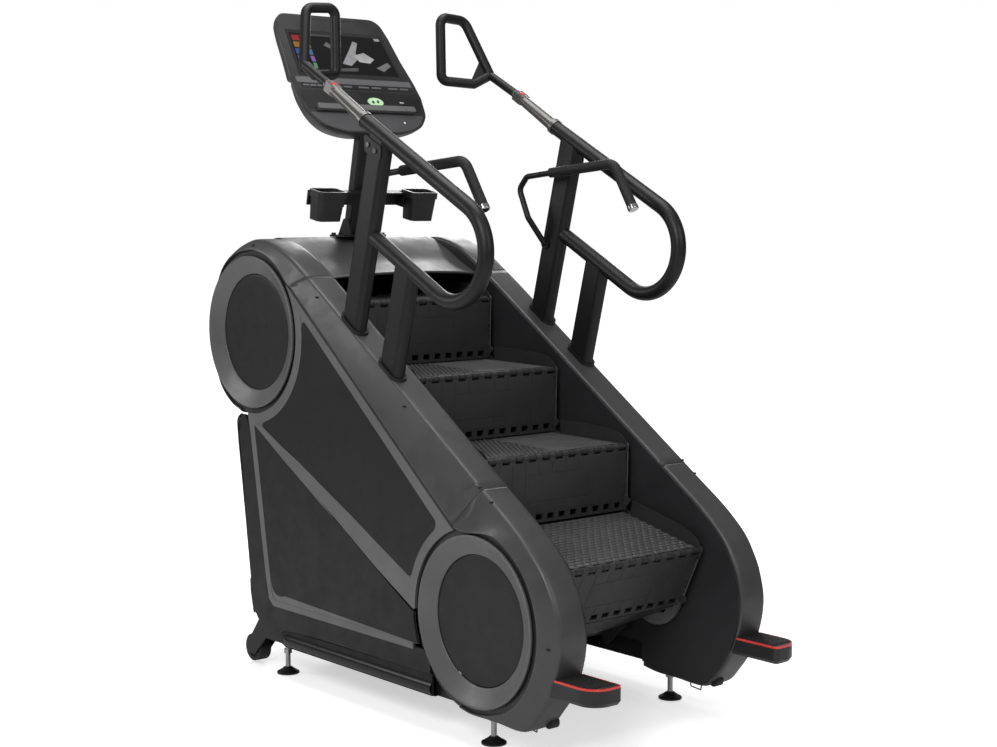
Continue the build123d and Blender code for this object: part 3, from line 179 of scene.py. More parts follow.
FINISHES = {
    "cover_charcoal": dict(colour=(0.043, 0.043, 0.0445), rough=0.40, grain=1400,
                           grain_bump=0.10, spec=0.55),
    "wall_dark": dict(colour=(0.020, 0.020, 0.022), rough=0.46, grain=1400, grain_bump=0.10),
    "panel_black": dict(colour=(0.0070, 0.0070, 0.0074), rough=0.46, grain=1500,
                        grain_bump=0.06, spec=0.32),
    "trim_grey": dict(colour=(0.105, 0.105, 0.108), rough=0.38, grain=1400),
    "disc_dark": dict(colour=(0.0100, 0.0100, 0.0103), rough=0.46, grain=1400,
                      grain_bump=0.06, spec=0.36),
    "disc_grey": dict(colour=(0.098, 0.098, 0.100), rough=0.36, grain=1400, grain_bump=0.07),
    "black_metal": dict(colour=(0.0055, 0.0055, 0.0057), rough=0.44, grain=1700,
                        grain_bump=0.03, spec=0.36, rough_spread=0.03),
    "collar_chrome": dict(colour=(0.50, 0.50, 0.51), rough=0.20, metallic=1.0, grain=500,
                          grain_bump=0.02, rough_spread=0.04, spread=0.04),
    # edge gives the grips a painted highlight along their edges
    "grip_silver": dict(colour=(0.125, 0.122, 0.118), rough=0.34, metallic=0.65, grain=1600,
                        grain_bump=0.02, spread=0.05, rough_spread=0.03, edge=(0.8, 0.004)),
    "foam_black": dict(colour=(0.011, 0.011, 0.011), rough=0.62, grain=2200,
                       grain_bump=0.45, spec=0.35),
    "console_black": dict(colour=(0.015, 0.015, 0.016), rough=0.38, grain=1600,
                          grain_bump=0.06, spec=0.4),
    "screen_glass": dict(colour=(0.006, 0.006, 0.007), rough=0.06, grain=60, grain_bump=0.0,
                         rough_spread=0.02, spec=0.6, coat=1.0),
    "pod_rubber": dict(colour=(0.016, 0.016, 0.016), rough=0.60, grain=1500,
                       grain_bump=0.3, spec=0.35),
    "light_red": dict(colour=(0.62, 0.03, 0.02), rough=0.25, grain_bump=0.03, coat=0.4),
    "button_green": dict(colour=(0.25, 0.55, 0.22), rough=0.25, grain_bump=0.03, coat=0.5),
    "step_grey": dict(colour=(0.026, 0.026, 0.0265), rough=0.46, grain=1300, grain_bump=0.25),
    "steel": dict(colour=(0.42, 0.42, 0.43), rough=0.32, metallic=1.0, grain_bump=0.06,
                  brushed=(1, 1, 14)),
    "cast_iron": dict(colour=(0.12, 0.12, 0.12), rough=0.5, metallic=0.7, grain=700,
                      grain_bump=0.4),
    "wheel_rubber": dict(colour=(0.012, 0.012, 0.012), rough=0.55, grain=1500,
                         grain_bump=0.3, spec=0.35),
    "vent_black": dict(colour=(0.002, 0.002, 0.002), rough=0.7, grain=1500, grain_bump=0.05),
    "tread_base": dict(colour=(0.016, 0.016, 0.0165), rough=0.5, grain=1300, grain_bump=0.2),
    "bolt_dark": dict(colour=(0.09, 0.09, 0.09), rough=0.35, metallic=0.8, grain_bump=0.05),
    "ledge_grey": dict(colour=(0.115, 0.115, 0.118), rough=0.34, grain=1400, grain_bump=0.04),
    "gloss_black": dict(colour=(0.0030, 0.0030, 0.0032), rough=0.30, grain=500,
                        grain_bump=0.0, rough_spread=0.03, spec=0.35),
    "screw_black": dict(colour=(0.004, 0.004, 0.004), grain=1500, grain_bump=0.05),
    "groove_grey": dict(colour=(0.0215, 0.0215, 0.0225), rough=0.44, grain=1400),
    "key_black": dict(colour=(0.008, 0.008, 0.009), rough=0.22, grain=1500,
                      grain_bump=0.03, coat=0.3),
    "key_grey": dict(colour=(0.10, 0.10, 0.105), rough=0.38, grain=1500, grain_bump=0.05),
    "mark_white": dict(colour=(0.55, 0.55, 0.55), rough=0.4, grain_bump=0.02),
    "pale_green": dict(colour=(0.50, 0.72, 0.42), rough=0.3, grain_bump=0.03, coat=0.3),
    "dark_green": dict(colour=(0.02, 0.10, 0.06), rough=0.3, grain_bump=0.03, coat=0.3),
    "dot_white": dict(colour=(0.85, 0.85, 0.85), rough=0.3, grain_bump=0.0),
    "chin_grey": dict(colour=(0.055, 0.055, 0.058), rough=0.36, grain=1500, grain_bump=0.06),
    "link_dark": dict(colour=(0.10, 0.10, 0.10), rough=0.36, metallic=0.7, grain_bump=0.05),
    "tread_pad": dict(colour=(0.070, 0.070, 0.073), rough=0.34, grain=1300,
                      grain_bump=0.25, spread=0.18, smudge=9, spec=0.55),
}
MATERIALS = {name: finish(name, **settings) for name, settings in FINISHES.items()}

FOOT_PAD_TOP = 0.0212  # metres
FOOT_PAD_COLOUR = (0.010, 0.010, 0.010, 1)


def foot_finish():
    """Rubber up to the top of the pad, brushed steel above it."""
    material = MATERIALS["steel"].copy()
    material.name = "foot_two_tone"
    nodes = material.node_tree.nodes
    link = material.node_tree.links.new
    shader = next(node for node in nodes if node.type == "BSDF_PRINCIPLED")
    coords = nodes.new("ShaderNodeTexCoord")
    axes = nodes.new("ShaderNodeSeparateXYZ")
    link(coords.outputs["Object"], axes.inputs[0])
    above = nodes.new("ShaderNodeMath")
    above.operation = "GREATER_THAN"
    above.inputs[1].default_value = FOOT_PAD_TOP
    link(axes.outputs["Z"], above.inputs[0])
    steel_colour = shader.inputs["Base Color"].links[0].from_socket
    mix = nodes.new("ShaderNodeMix")
    mix.data_type = "RGBA"
    mix.inputs[6].default_value = FOOT_PAD_COLOUR
    link(above.outputs[0], mix.inputs[0])
    link(steel_colour, mix.inputs[7])
    link(mix.outputs[2], shader.inputs["Base Color"])
    link(above.outputs[0], shader.inputs["Metallic"])
    return material


MATERIALS["foot_two_tone"] = foot_finish()

# CAD pieces whose material differs from the one in their record
OWN_MATERIAL = {"treads": "tread_base", "rail_brackets": "black_metal",
                "fasteners": "bolt_dark", "console_ledge": "ledge_grey"}


def paint_cad_pieces():
    for part in frame["record"]["subparts"]:
        node = part["node"]
        piece = NODES.get(node)
        if piece is None:
            continue
        if "_foot_" in node:
            material = "foot_two_tone"
        else:
            material = OWN_MATERIAL.get(node, part["material_slot"])
        piece.data.materials.clear()
        piece.data.materials.append(MATERIALS[material])


paint_cad_pieces()


# ---------------------------------------------------------------- outline helpers
def polar(centre, radius, degrees):
    angle = math.radians(degrees)
    return (centre[0] + radius * math.cos(angle), centre[1] + radius * math.sin(angle))


def arc(centre, radius, start, end, count):
    return [polar(centre, radius, start + (end - start) * i / count) for i in range(count + 1)]


def angle_to(centre, point):
    return math.degrees(math.atan2(point[1] - centre[1], point[0] - centre[0]))


def smooth_curve(points, end_dir, start_dir=None, per_span=6):
    """Catmull-Rom curve through points, leaving and arriving along the given directions."""
    p = [Vector(point) for point in points]
    if start_dir is None:
        first = p[0] - (p[1] - p[0])
    else:
        first = p[0] - Vector(start_dir) * (p[1] - p[0]).length
    last = p[-1] + Vector(end_dir) * (p[-1] - p[-2]).length
    knots = [first] + p + [last]
    curve = []
    for a, b, c, d in zip(knots, knots[1:], knots[2:], knots[3:]):
        for k in range(per_span):
            t = k / per_span
            curve.append(0.5 * ((2 * b) + (c - a) * t + (2 * a - 5 * b + 4 * c - d) * t * t
                                + (3 * b - a - 3 * c + d) * t ** 3))
    curve.append(p[-1])
    return curve


def bend(start, control, end, count):
    """count points strictly inside the quadratic curve start-control-end."""
    a, b, c = Vector(start), Vector(control), Vector(end)
    shares = [(i + 1) / (count + 1) for i in range(count)]
    return [(1 - t) ** 2 * a + 2 * t * (1 - t) * b + t * t * c for t in shares]


def round_corners(points, cuts):
    """Closed outline with each corner rounded over its cut length along both edges."""
    outline = []
    for i, (point, cut) in enumerate(zip(points, cuts)):
        corner = Vector(point)
        back = Vector(points[i - 1]) - corner
        ahead = Vector(points[(i + 1) % len(points)]) - corner
        cut = min(cut, back.length * 0.49, ahead.length * 0.49)
        if cut < 0.5:
            outline.append(tuple(corner))
            continue
        start = corner + back.normalized() * cut
        end = corner + ahead.normalized() * cut
        outline += [start] + bend(start, corner, end, 7) + [end]
    return outline


def mirrored_outline(half, cuts):
    """Rounded closed outline from its right half, listed bottom to top."""
    return round_corners(half + [(-u, v) for u, v in reversed(half)], cuts + cuts[::-1])


def round_rect(centre_u, centre_v, width, height, radius):
    outline = []
    for sign_u, sign_v, start in ((1, 1, 0), (-1, 1, 90), (-1, -1, 180), (1, -1, 270)):
        for k in range(7):
            angle = math.radians(start + 90 * k / 6)
            outline.append((
                centre_u + sign_u * (width / 2 - radius) + radius * math.cos(angle),
                centre_v + sign_v * (height / 2 - radius) + radius * math.sin(angle)))
    return outline


def ellipse(centre_u, centre_v, radius_u, radius_v, count):
    angles = [2 * math.pi * k / count for k in range(count)]
    return [(centre_u + radius_u * math.cos(a), centre_v + radius_v * math.sin(a))
            for a in angles]


# ---------------------------------------------------------------- mesh helpers
def add_bevel(piece, name, width, angle):
    bevel = piece.modifiers.new(name, "BEVEL")
    bevel.width = width * MM
    bevel.segments = 2
    bevel.limit_method = "ANGLE"
    bevel.angle_limit = math.radians(angle)
    bevel.harden_normals = False


def add_piece(name, shape, material, body="frame", replaces=(), smooth=True,
              sharp=None, bevel=None, thickness=None):
    """Turn a bmesh into an object; sharp is in degrees, bevel and thickness in mm."""
    mesh = bpy.data.meshes.new(name)
    bmesh.ops.remove_doubles(shape, verts=shape.verts, dist=1e-6)
    bmesh.ops.recalc_face_normals(shape, faces=shape.faces)
    shape.to_mesh(mesh)
    shape.free()
    for polygon in mesh.polygons:
        polygon.use_smooth = smooth
    if sharp is not None:
        mesh.set_sharp_from_angle(angle=math.radians(sharp))
    piece = bpy.data.objects.new(name, mesh)
    bpy.context.scene.collection.objects.link(piece)
    mesh.materials.append(material)
    if bevel:
        add_bevel(piece, "bevel", bevel, angle=40)
    if thickness:
        solidify = piece.modifiers.new("solidify", "SOLIDIFY")
        solidify.thickness = thickness * MM
        solidify.offset = -1.0
    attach(piece, body)
    if replaces:
        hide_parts(*replaces)


def grid(shape, rows, close_rows=False, close_columns=False):
    """Quads between rows of points, joined round in either direction if asked."""
    verts = [[shape.verts.new(Vector(point) * MM) for point in row] for row in rows]
    height, width = len(verts), len(verts[0])
    for i in range(height if close_rows else height - 1):
        for j in range(width if close_columns else width - 1):
            near, far = verts[i], verts[(i + 1) % height]
            beside = (j + 1) % width
            shape.faces.new((near[j], near[beside], far[beside], far[j]))
    return verts


def cap_ends(shape, verts):
    shape.faces.new(verts[0])
    shape.faces.new(verts[-1])


def tube(shape, points, radius, segments):
    """Round closed tube through 3-D points."""
    p = [Vector(point) for point in points]
    start = (p[1] - p[0]).normalized()
    guide = Vector((1, 0, 0)) if abs(start.x) < 0.9 else Vector((0, 0, 1))
    across = (guide - start * guide.dot(start)).normalized()
    rings = []
    for i, centre in enumerate(p):
        along = (p[min(i + 1, len(p) - 1)] - p[max(i - 1, 0)]).normalized()
        across = (across - along * across.dot(along)).normalized()
        other = along.cross(across)
        angles = [2 * math.pi * k / segments for k in range(segments)]
        rings.append([centre + (across * math.cos(a) + other * math.sin(a)) * radius
                      for a in angles])
    cap_ends(shape, grid(shape, rings, close_columns=True))


def revolve(shape, centre, profile, segments, mirror):
    """Turn a profile of (radius, x) about a line along X through centre (y, z)."""
    rows = []
    for k in range(segments):
        a = 2 * math.pi * k / segments
        rows.append([(mirror * x, centre[0] + r * math.cos(a), centre[1] + r * math.sin(a))
                     for r, x in profile])
    grid(shape, rows, close_rows=True)


def prism(shape, outline, low, high, place):
    """Closed slab of a flat outline between two heights, placed by place(u, v, height)."""
    bottom = [shape.verts.new(place(u, v, low) * MM) for u, v in outline]
    top = [shape.verts.new(place(u, v, high) * MM) for u, v in outline]
    shape.faces.new(bottom)
    shape.faces.new(top)
    count = len(outline)
    for i in range(count):
        j = (i + 1) % count
        shape.faces.new((bottom[i], bottom[j], top[j], top[i]))


def side_place(mirror):
    """Places (y, z) outlines at a distance x from the middle, on one side."""
    return lambda y, z, x: Vector((mirror * x, y, z))


# ---------------------------------------------------------------- moulded side housings
# Each cover is swept along two lines in (y, z): the ridge on its outer rim and the face
# line, further in, where its side face stands out most.
FACE_RADIUS = 266          # of the face line round the lower disc
CROWN_FACE_RADIUS = 265    # most it may be round the upper disc
CROWN_FACE_GAP = 4         # least distance there from ridge points to face line
STRAIGHT_STEPS = 24        # spans between nose and crown
RIDGE_DIR = (0.8285, 0.5600)
FACE_DIR = (0.78, 0.625)
CROWN_END_DIR = (-0.87, -0.49)

# Ridge under and round the front end, up to the straight
NOSE_RIDGE = [
    (-383, 92), (-440, 84), (-520, 83), (-640, 83), (-700, 137), (-748, 207), (-777, 290),
    (-785, 365), (-769, 438), (-745, 490), (-705, 548), (-624, 618), (-500, 703),
]
NOSE_FACE_START = [(-383, 101.3), (-446, 93.4), (-540, 111.2)]
NOSE_FACE_ANGLES = (-125, -139, -153.7, -168.7, 178.5, 165.8, 152, 135, 108, 72.6)
# Ridge over and behind the upper disc
CROWN_RIDGE = [
    (306, 1246), (412, 1315), (480, 1355), (551, 1384), (624, 1400), (690, 1398),
    (775, 1366), (845, 1305), (892, 1215), (912, 1110), (902, 1010), (860, 918),
    (800, 864), (740, 836),
]
CROWN_FACE_START = (436, 1252)

# Cross-section: inner wall, nearly flat rim, sloping shoulder, turned-in lip
INNER_X = 309.3
INNER_DEPTHS = (58, 30, 13)                                     # below the ridge
RIM = [(323, -0.1), (345, -0.5), (370, -0.7), (392, -0.4)]      # (x, depth below ridge)
SHOULDER_X = 408
FACE_X = 428
LIP = 3.0


def cover_lines():
    """Ridge and face line, with matching points."""
    ridge = smooth_curve(NOSE_RIDGE, end_dir=RIDGE_DIR)
    nose_face = [polar(LOWER_DISC, FACE_RADIUS, angle) for angle in NOSE_FACE_ANGLES]
    face = smooth_curve(NOSE_FACE_START + nose_face, end_dir=FACE_DIR)

    crown = smooth_curve(CROWN_RIDGE, start_dir=RIDGE_DIR, end_dir=CROWN_END_DIR)
    crown_face = [CROWN_FACE_START]
    for y, z in CROWN_RIDGE[1:]:
        away = math.hypot(y - UPPER_DISC[0], z - UPPER_DISC[1])
        radius = min(CROWN_FACE_RADIUS, away - CROWN_FACE_GAP)
        crown_face.append(polar(UPPER_DISC, radius, angle_to(UPPER_DISC, (y, z))))
    crown_face = smooth_curve(crown_face, start_dir=FACE_DIR, end_dir=CROWN_END_DIR)

    ridge_end, face_end = ridge[-1], face[-1]
    for k in range(1, STRAIGHT_STEPS):
        ridge.append(ridge_end.lerp(crown[0], k / STRAIGHT_STEPS))
        face.append(face_end.lerp(crown_face[0], k / STRAIGHT_STEPS))
    return ridge + crown, face + crown_face


RIDGE, FACE = cover_lines()


def cover_section(i):
    """Points (x, y, z) across the right cover at point i of the ridge."""
    ridge, face = RIDGE[i], FACE[i]
    along = (RIDGE[min(i + 1, len(RIDGE) - 1)] - RIDGE[max(i - 1, 0)]).normalized()
    outward = Vector((-along.y, along.x))

    def below(x, depth):
        return Vector((x, ridge.x - outward.x * depth, ridge.y - outward.y * depth))

    def shoulder(share):
        return Vector((SHOULDER_X + (FACE_X - SHOULDER_X) * share,
                       ridge.x + (face.x - ridge.x) * share,
                       ridge.y + (face.y - ridge.y) * share))

    width = (face - ridge).length
    inward = (face - ridge).normalized()
    start = min(0.45, 11 / width)
    end = max(0.6, 1 - 6 / width)
    lip_bend = Vector((FACE_X + 0.2, face.x + inward.x * LIP / 2, face.y + inward.y * LIP / 2))
    lip_y, lip_z = face.x + inward.x * LIP, face.y + inward.y * LIP
    lip = Vector((423, lip_y, lip_z))

    row = [below(INNER_X, depth) for depth in INNER_DEPTHS]
    row += bend(below(INNER_X, 11), below(INNER_X, 0), below(321, 0), 4)
    row += [below(x, depth) for x, depth in RIM]
    row += bend(below(397, -0.2), below(408.2, 0), shoulder(start), 5)
    row += [shoulder(start), shoulder(0.5 + start / 2), shoulder(end)]
    row += bend(shoulder(end), lip_bend, lip, 4)
    row += [lip, Vector((416, lip_y, lip_z))]
    return row


# Seams between cover parts: point, upward normal and half the gap, in metres
LOWER_SEAM = (Vector((0, -0.460, 0.728)), Vector((0, 0.72, 0.694)).normalized(), 0.0006)
UPPER_SEAM = (Vector((0, 0.405, 1.276)), Vector((0, 0.455, 0.89)).normalized(), 0.0004)

# Name, CAD cover it replaces, and (seam, keep the part above it) for each cut
COVER_PARTS = (
    ("lower_cover_shell", "lower_side_cover_", [(LOWER_SEAM, False)]),
    ("upper_cover_shell", "upper_side_cover_", [(LOWER_SEAM, True), (UPPER_SEAM, False)]),
    ("crown_cover_shell", "upper_side_cover_", [(UPPER_SEAM, True)]),
)
COVER_SCREWS = [(315, 1231), (657, 1384), (-450, 735), (-500, 700), (-749, 336), (-120, 932)]
SCREW_RADIUS = 6.4
# (radius, height) from the sunk foot, over the rim, into the recess
SCREW_PROFILE = [
    (SCREW_RADIUS, -2.5), (SCREW_RADIUS, 1.3), (SCREW_RADIUS * 0.86, 1.8),
    (SCREW_RADIUS * 0.8, 1.2), (SCREW_RADIUS * 0.42, 1.1), (SCREW_RADIUS * 0.36, 0.4),
    (0.05, 0.4),
]


def cut_at(shape, seam, keep_above):
    point, normal, half_gap = seam
    bmesh.ops.bisect_plane(
        shape, geom=shape.verts[:] + shape.edges[:] + shape.faces[:],
        plane_co=point + normal * (half_gap if keep_above else -half_gap), plane_no=normal,
        clear_inner=keep_above, clear_outer=not keep_above)


def cover_screws(side, mirror, rows):
    """Recessed screws, seated where a ray along X meets the cover from outside."""
    skin = bmesh.new()
    grid(skin, rows)
    tree = BVHTree.FromBMesh(skin)
    skin.free()
    shape = bmesh.new()
    for y, z in COVER_SCREWS:
        start = Vector((mirror * 0.6, y * MM, z * MM))
        hit, normal, _, _ = tree.ray_cast(start, Vector((-mirror, 0, 0)))
        if hit is None:  # a place beside the cover gets no screw
            continue
        if normal.x * mirror < 0:
            normal = -normal
        seat = hit * (1 / MM)
        turn = normal.normalized().to_track_quat("Z", "Y").to_matrix()
        screw = []
        for k in range(18):
            a = 2 * math.pi * k / 18
            screw.append([seat + turn @ Vector((r * math.cos(a), r * math.sin(a), height))
                          for r, height in SCREW_PROFILE])
        grid(shape, screw, close_rows=True)
    add_piece(f"cover_screws_{side}", shape, MATERIALS["screw_black"], sharp=50)


def side_covers(side, mirror):
    rows = [[Vector((mirror * p.x, p.y, p.z)) for p in cover_section(i)]
            for i in range(len(RIDGE))]
    for name, cad_cover, cuts in COVER_PARTS:
        shape = bmesh.new()
        grid(shape, rows)
        for seam, keep_above in cuts:
            cut_at(shape, seam, keep_above)
        add_piece(f"{name}_{side}", shape, MATERIALS["cover_charcoal"],
                  replaces=(cad_cover + side,), sharp=40, thickness=2.2)
    cover_screws(side, mirror, rows)


for side, mirror in SIDES:
    side_covers(side, mirror)

# ---------------------------------------------------------------- side discs
# Profiles of (radius, x)
RING_PROFILE = [
    (241, 417), (244.2, 420), (245, 424), (244.6, 427.6), (243.4, 429.3), (241.4, 430),
    (239.2, 429.6), (236.5, 428.2), (225, 421.6), (210, 414.0), (198, 408.6),
    (191.5, 405.6), (188.6, 404.2), (187.3, 403.0), (187, 401.0),
]
INSERT_PROFILE = [
    (0.5, 402.4), (90, 402.4), (160, 402.3), (180, 402.1), (184, 401.6), (185.6, 400.4),
    (186.2, 399),
]
GROOVE_RIM_MIN = 243.5
GROOVE_RIM_MAX = 267.0
GROOVE_RIM_GAP = 1.5      # kept from the ridge
GROOVE_SEGMENTS = 180


def disc(tag, centre, side, mirror):
    """Dished grey ring with a dark flat insert."""
    shape = bmesh.new()
    revolve(shape, centre, RING_PROFILE, 128, mirror)
    add_piece(f"{tag}_disc_ring_{side}", shape, MATERIALS["disc_grey"],
              replaces=("disc_rings",), sharp=60)
    shape = bmesh.new()
    revolve(shape, centre, INSERT_PROFILE, 96, mirror)
    add_piece(f"{tag}_disc_insert_{side}", shape, MATERIALS["disc_dark"],
              replaces=("disc_inserts",), sharp=60)


def reach(centre, line, degrees, limit):
    """Distance from centre to a line of points in a direction, at most limit."""
    ray = Vector((math.cos(math.radians(degrees)), math.sin(math.radians(degrees))))
    best = limit
    for start, end in zip(line[:-1], line[1:]):
        edge = end - start
        cross = ray.x * -edge.y + edge.x * ray.y
        if abs(cross) < 1e-9:
            continue
        offset = Vector((start.x - centre[0], start.y - centre[1]))
        distance = (offset.x * -edge.y + edge.x * offset.y) / cross
        share = (ray.x * offset.y - ray.y * offset.x) / cross
        if distance > 0 and -0.01 <= share <= 1.01:
            best = min(best, distance)
    return best


def disc_groove(tag, centre, line, side, mirror):
    """Dark sunk band round a ring, narrowed where the ridge comes close."""
    rows = []
    for k in range(GROOVE_SEGMENTS):
        degrees = k * 360 / GROOVE_SEGMENTS
        rim = reach(centre, line, degrees, limit=400.0) - GROOVE_RIM_GAP
        rim = max(GROOVE_RIM_MIN, min(GROOVE_RIM_MAX, rim))
        profile = [(238, 400), (238, 413), (239.5, 414.6), (242, 415.2),
                   ((242 + rim) / 2, 415.6), (rim - 1.2, 415.4), (rim, 414.0), (rim, 405)]
        rows.append([(mirror * x, *polar(centre, r, degrees)) for r, x in profile])
    shape = bmesh.new()
    grid(shape, rows, close_rows=True)
    add_piece(f"{tag}_disc_groove_{side}", shape, MATERIALS["groove_grey"],
              sharp=45)


for tag, centre in (("lower", LOWER_DISC), ("upper", UPPER_DISC)):
    for side, mirror in SIDES:
        disc(tag, centre, side, mirror)

# Each groove looks only at the stretch of the ridge beside its own disc
for tag, centre, line in (("lower", LOWER_DISC, RIDGE[:46]), ("upper", UPPER_DISC, RIDGE[-90:])):
    for side, mirror in SIDES:
        disc_groove(tag, centre, line, side, mirror)

# ---------------------------------------------------------------- side panels
PANEL_INNER_X = 418.0
PANEL_OUTER_X = 426.4
BACKING_OUTER_X = 425.9
UPPER_ARC_RADIUS = 294       # upper panel's edge round the upper disc
LOWER_ARC_RADIUS = 291       # upper panel's edge round the lower disc
LOWER_PANEL_ARC_RADIUS = 272
LOWER_PANEL_CORNER = (560.5, 248)
LOWER_PANEL_CORNER_RADIUS = 62

# Points (y, z)
UPPER_TOP_FRONT, UPPER_TOP_BACK = (-420, 505), (500, 1264)
UPPER_BOTTOM = [(400, 705), (300, 660), (200, 615), (100, 567), (0, 517)]
LOWER_PANEL_TOP = [(650, 773), (655, 806), (600, 775), (500, 716), (300, 604), (100, 494),
                   (0, 434)]
LOWER_BACKING_CORNER = [(545, 248), (563, 262), (575, 333)]


def entry(centre, radius, outside, inside):
    """Where the segment from outside to inside enters the circle."""
    start, step = Vector(outside), Vector(inside) - Vector(outside)
    offset = start - Vector(centre)
    a, b = step.dot(step), 2 * offset.dot(step)
    c = offset.dot(offset) - radius * radius
    return start + step * ((-b - math.sqrt(b * b - 4 * a * c)) / (2 * a))


def blunt(line_point, corner, arc_points, radius):
    """Round the corner between a straight edge and the start of an arc."""
    corner = Vector(corner)
    straight = (Vector(line_point) - corner).normalized()
    curved = (Vector(arc_points[1]) - corner).normalized()
    cut = radius / math.tan(straight.angle(curved) / 2)
    start = corner + straight * cut
    walked, i = 0.0, 0
    while i + 1 < len(arc_points) and walked < cut:
        walked += (Vector(arc_points[i + 1]) - Vector(arc_points[i])).length
        i += 1
    return [start] + bend(start, corner, arc_points[i], 6) + arc_points[i:]


def upper_panel_outlines():
    """Rounded panel between the two discs, and its backing with plain corners."""
    top = entry(UPPER_DISC, UPPER_ARC_RADIUS, UPPER_TOP_FRONT, UPPER_TOP_BACK)
    back = entry(UPPER_DISC, UPPER_ARC_RADIUS, (200, 615), (700, 840))
    front = entry(LOWER_DISC, LOWER_ARC_RADIUS, UPPER_TOP_BACK, UPPER_TOP_FRONT)
    foot = entry(LOWER_DISC, LOWER_ARC_RADIUS, (0, 517), (-300, 370))
    upper_arc = arc(UPPER_DISC, UPPER_ARC_RADIUS, angle_to(UPPER_DISC, top) % 360,
                    angle_to(UPPER_DISC, back) % 360, 14)
    lower_arc = arc(LOWER_DISC, LOWER_ARC_RADIUS, angle_to(LOWER_DISC, foot),
                    angle_to(LOWER_DISC, front), 8)
    backing = upper_arc + UPPER_BOTTOM + lower_arc

    upper_arc = blunt(UPPER_TOP_FRONT, top, upper_arc, 17)
    upper_arc = blunt((200, 615), back, upper_arc[::-1], 17)[::-1]
    lower_arc = blunt((0, 517), foot, lower_arc, 15)
    lower_arc = blunt(UPPER_TOP_BACK, front, lower_arc[::-1], 25)[::-1]
    return upper_arc + UPPER_BOTTOM + lower_arc, backing


def lower_panel_outlines():
    """Panel behind the lower disc with its low back corner rounded, and its backing."""
    disc_edge = arc(LOWER_DISC, LOWER_PANEL_ARC_RADIUS, angle_to(LOWER_DISC, (-176, 338)),
                    angle_to(LOWER_DISC, (-197, 248)), 6)
    corner = Vector(LOWER_PANEL_CORNER)
    before = Vector(LOWER_PANEL_TOP[-1]) - corner
    after = Vector(LOWER_PANEL_TOP[0]) - corner
    cut = LOWER_PANEL_CORNER_RADIUS / math.tan(before.angle(after) / 2)
    panel = round_corners([LOWER_PANEL_CORNER] + LOWER_PANEL_TOP,
                          [cut] + [0] * len(LOWER_PANEL_TOP))
    return panel + disc_edge, LOWER_BACKING_CORNER + LOWER_PANEL_TOP + disc_edge


UPPER_PANEL, UPPER_BACKING = upper_panel_outlines()
LOWER_PANEL, LOWER_BACKING = lower_panel_outlines()


def side_panels(side, mirror):
    place = side_place(mirror)
    shape = bmesh.new()
    for outline in (UPPER_BACKING, LOWER_BACKING):
        prism(shape, outline, PANEL_INNER_X, BACKING_OUTER_X, place)
    add_piece(f"trim_backing_{side}", shape, MATERIALS["trim_grey"], smooth=False)
    for tag, outline in (("upper", UPPER_PANEL), ("lower", LOWER_PANEL)):
        shape = bmesh.new()
        prism(shape, outline, PANEL_INNER_X, PANEL_OUTER_X, place)
        add_piece(f"{tag}_panel_moulding_{side}", shape, MATERIALS["panel_black"],
                  replaces=(f"{tag}_side_panel_{side}",), smooth=False,
                  bevel=1.0)


for side, mirror in SIDES:
    side_panels(side, mirror)

# ---------------------------------------------------------------- lower edge of the sides
# Outlines (y, z)
SKIRT = (
    [(-250, 168), (300, 166), (420, 163), (486, 158)]
    + bend((500, 157), (520, 146), (545, 142), 5)
    + bend((560, 141), (668, 140), (684, 236), 9)
    + [(690, 292), (733, 660), (750, 765), (738, 833.4), (716, 833.4), (690, 800),
       (676, 773), (604, 340), (540, 236), (300, 236), (-250, 236)]
)
# outline of the near-black slab painted as shade under the skirt
FOOT_SHADE_SLAB = [(-255, 104), (-255, 168), (496, 160), (520, 146), (520, 112), (500, 104)]
GUARD_FOOT = [(688, 292), (724, 292), (722, 250), (706, 180), (664, 176)]
ROLLER_ARM = [(-676, 122), (-676, 100), (-590, 84), (-560, 84), (-560, 100)]

SKIRT_INNER_X = 414.0
FOOT_TUBE_X, FOOT_TUBE_Z = 404, 126
FOOT_TUBE_HALF_WIDTH, FOOT_TUBE_HALF_HEIGHT = 25.5, 24.5
FOOT_TUBE_FRONT, FOOT_TUBE_BACK = -255, 490
FOOT_TUBE_DOME = 26                 # length of the dome at the back
FOOT_TUBE_SPANS, DOME_SPANS = 34, 6

# Bent tube behind the back edge: its (y, z) points, its bend and a thin straight rod
GUARD_X = 394
GUARD_TUBE = [(716, 262), (741, 440), (767, 620), (784, 735), (789, 778)]
GUARD_BEND = [(790, 788), (794, 818), (768, 822)]
GUARD_ROD_X = 372

ROLLER_AXIS = (-668, 104)
WIRE_X = 330
ROLLER_WIRE = [(-560, 96), (-566, 66), (-606, 62), (-612, 92)]


def skirt(side, mirror):
    shape = bmesh.new()
    prism(shape, SKIRT, SKIRT_INNER_X, 423.5, side_place(mirror))
    add_piece(f"skirt_moulding_{side}", shape, MATERIALS["panel_black"],
              replaces=("side_skirts",), smooth=False, bevel=1.6)


def foot_tube(side, mirror):
    """Tube along the foot of the side, closed with a dome at the back."""
    rows = []
    for k in range(FOOT_TUBE_SPANS + DOME_SPANS + 1):
        if k <= FOOT_TUBE_SPANS:
            y = FOOT_TUBE_FRONT + (FOOT_TUBE_BACK - FOOT_TUBE_FRONT) * k / FOOT_TUBE_SPANS
            size = 1.0
        else:
            a = math.radians(90 / DOME_SPANS * (k - FOOT_TUBE_SPANS))
            y = FOOT_TUBE_BACK + FOOT_TUBE_DOME * math.sin(a)
            size = max(0.02, math.cos(a))
        width, height = FOOT_TUBE_HALF_WIDTH * size, FOOT_TUBE_HALF_HEIGHT * size
        rows.append([(mirror * (FOOT_TUBE_X + width * math.cos(math.radians(a))), y,
                      FOOT_TUBE_Z + height * math.sin(math.radians(a)))
                     for a in range(-180, 180, 10)])
    shape = bmesh.new()
    grid(shape, rows, close_columns=True)
    add_piece(f"foot_tube_{side}", shape, MATERIALS["gloss_black"], sharp=60)


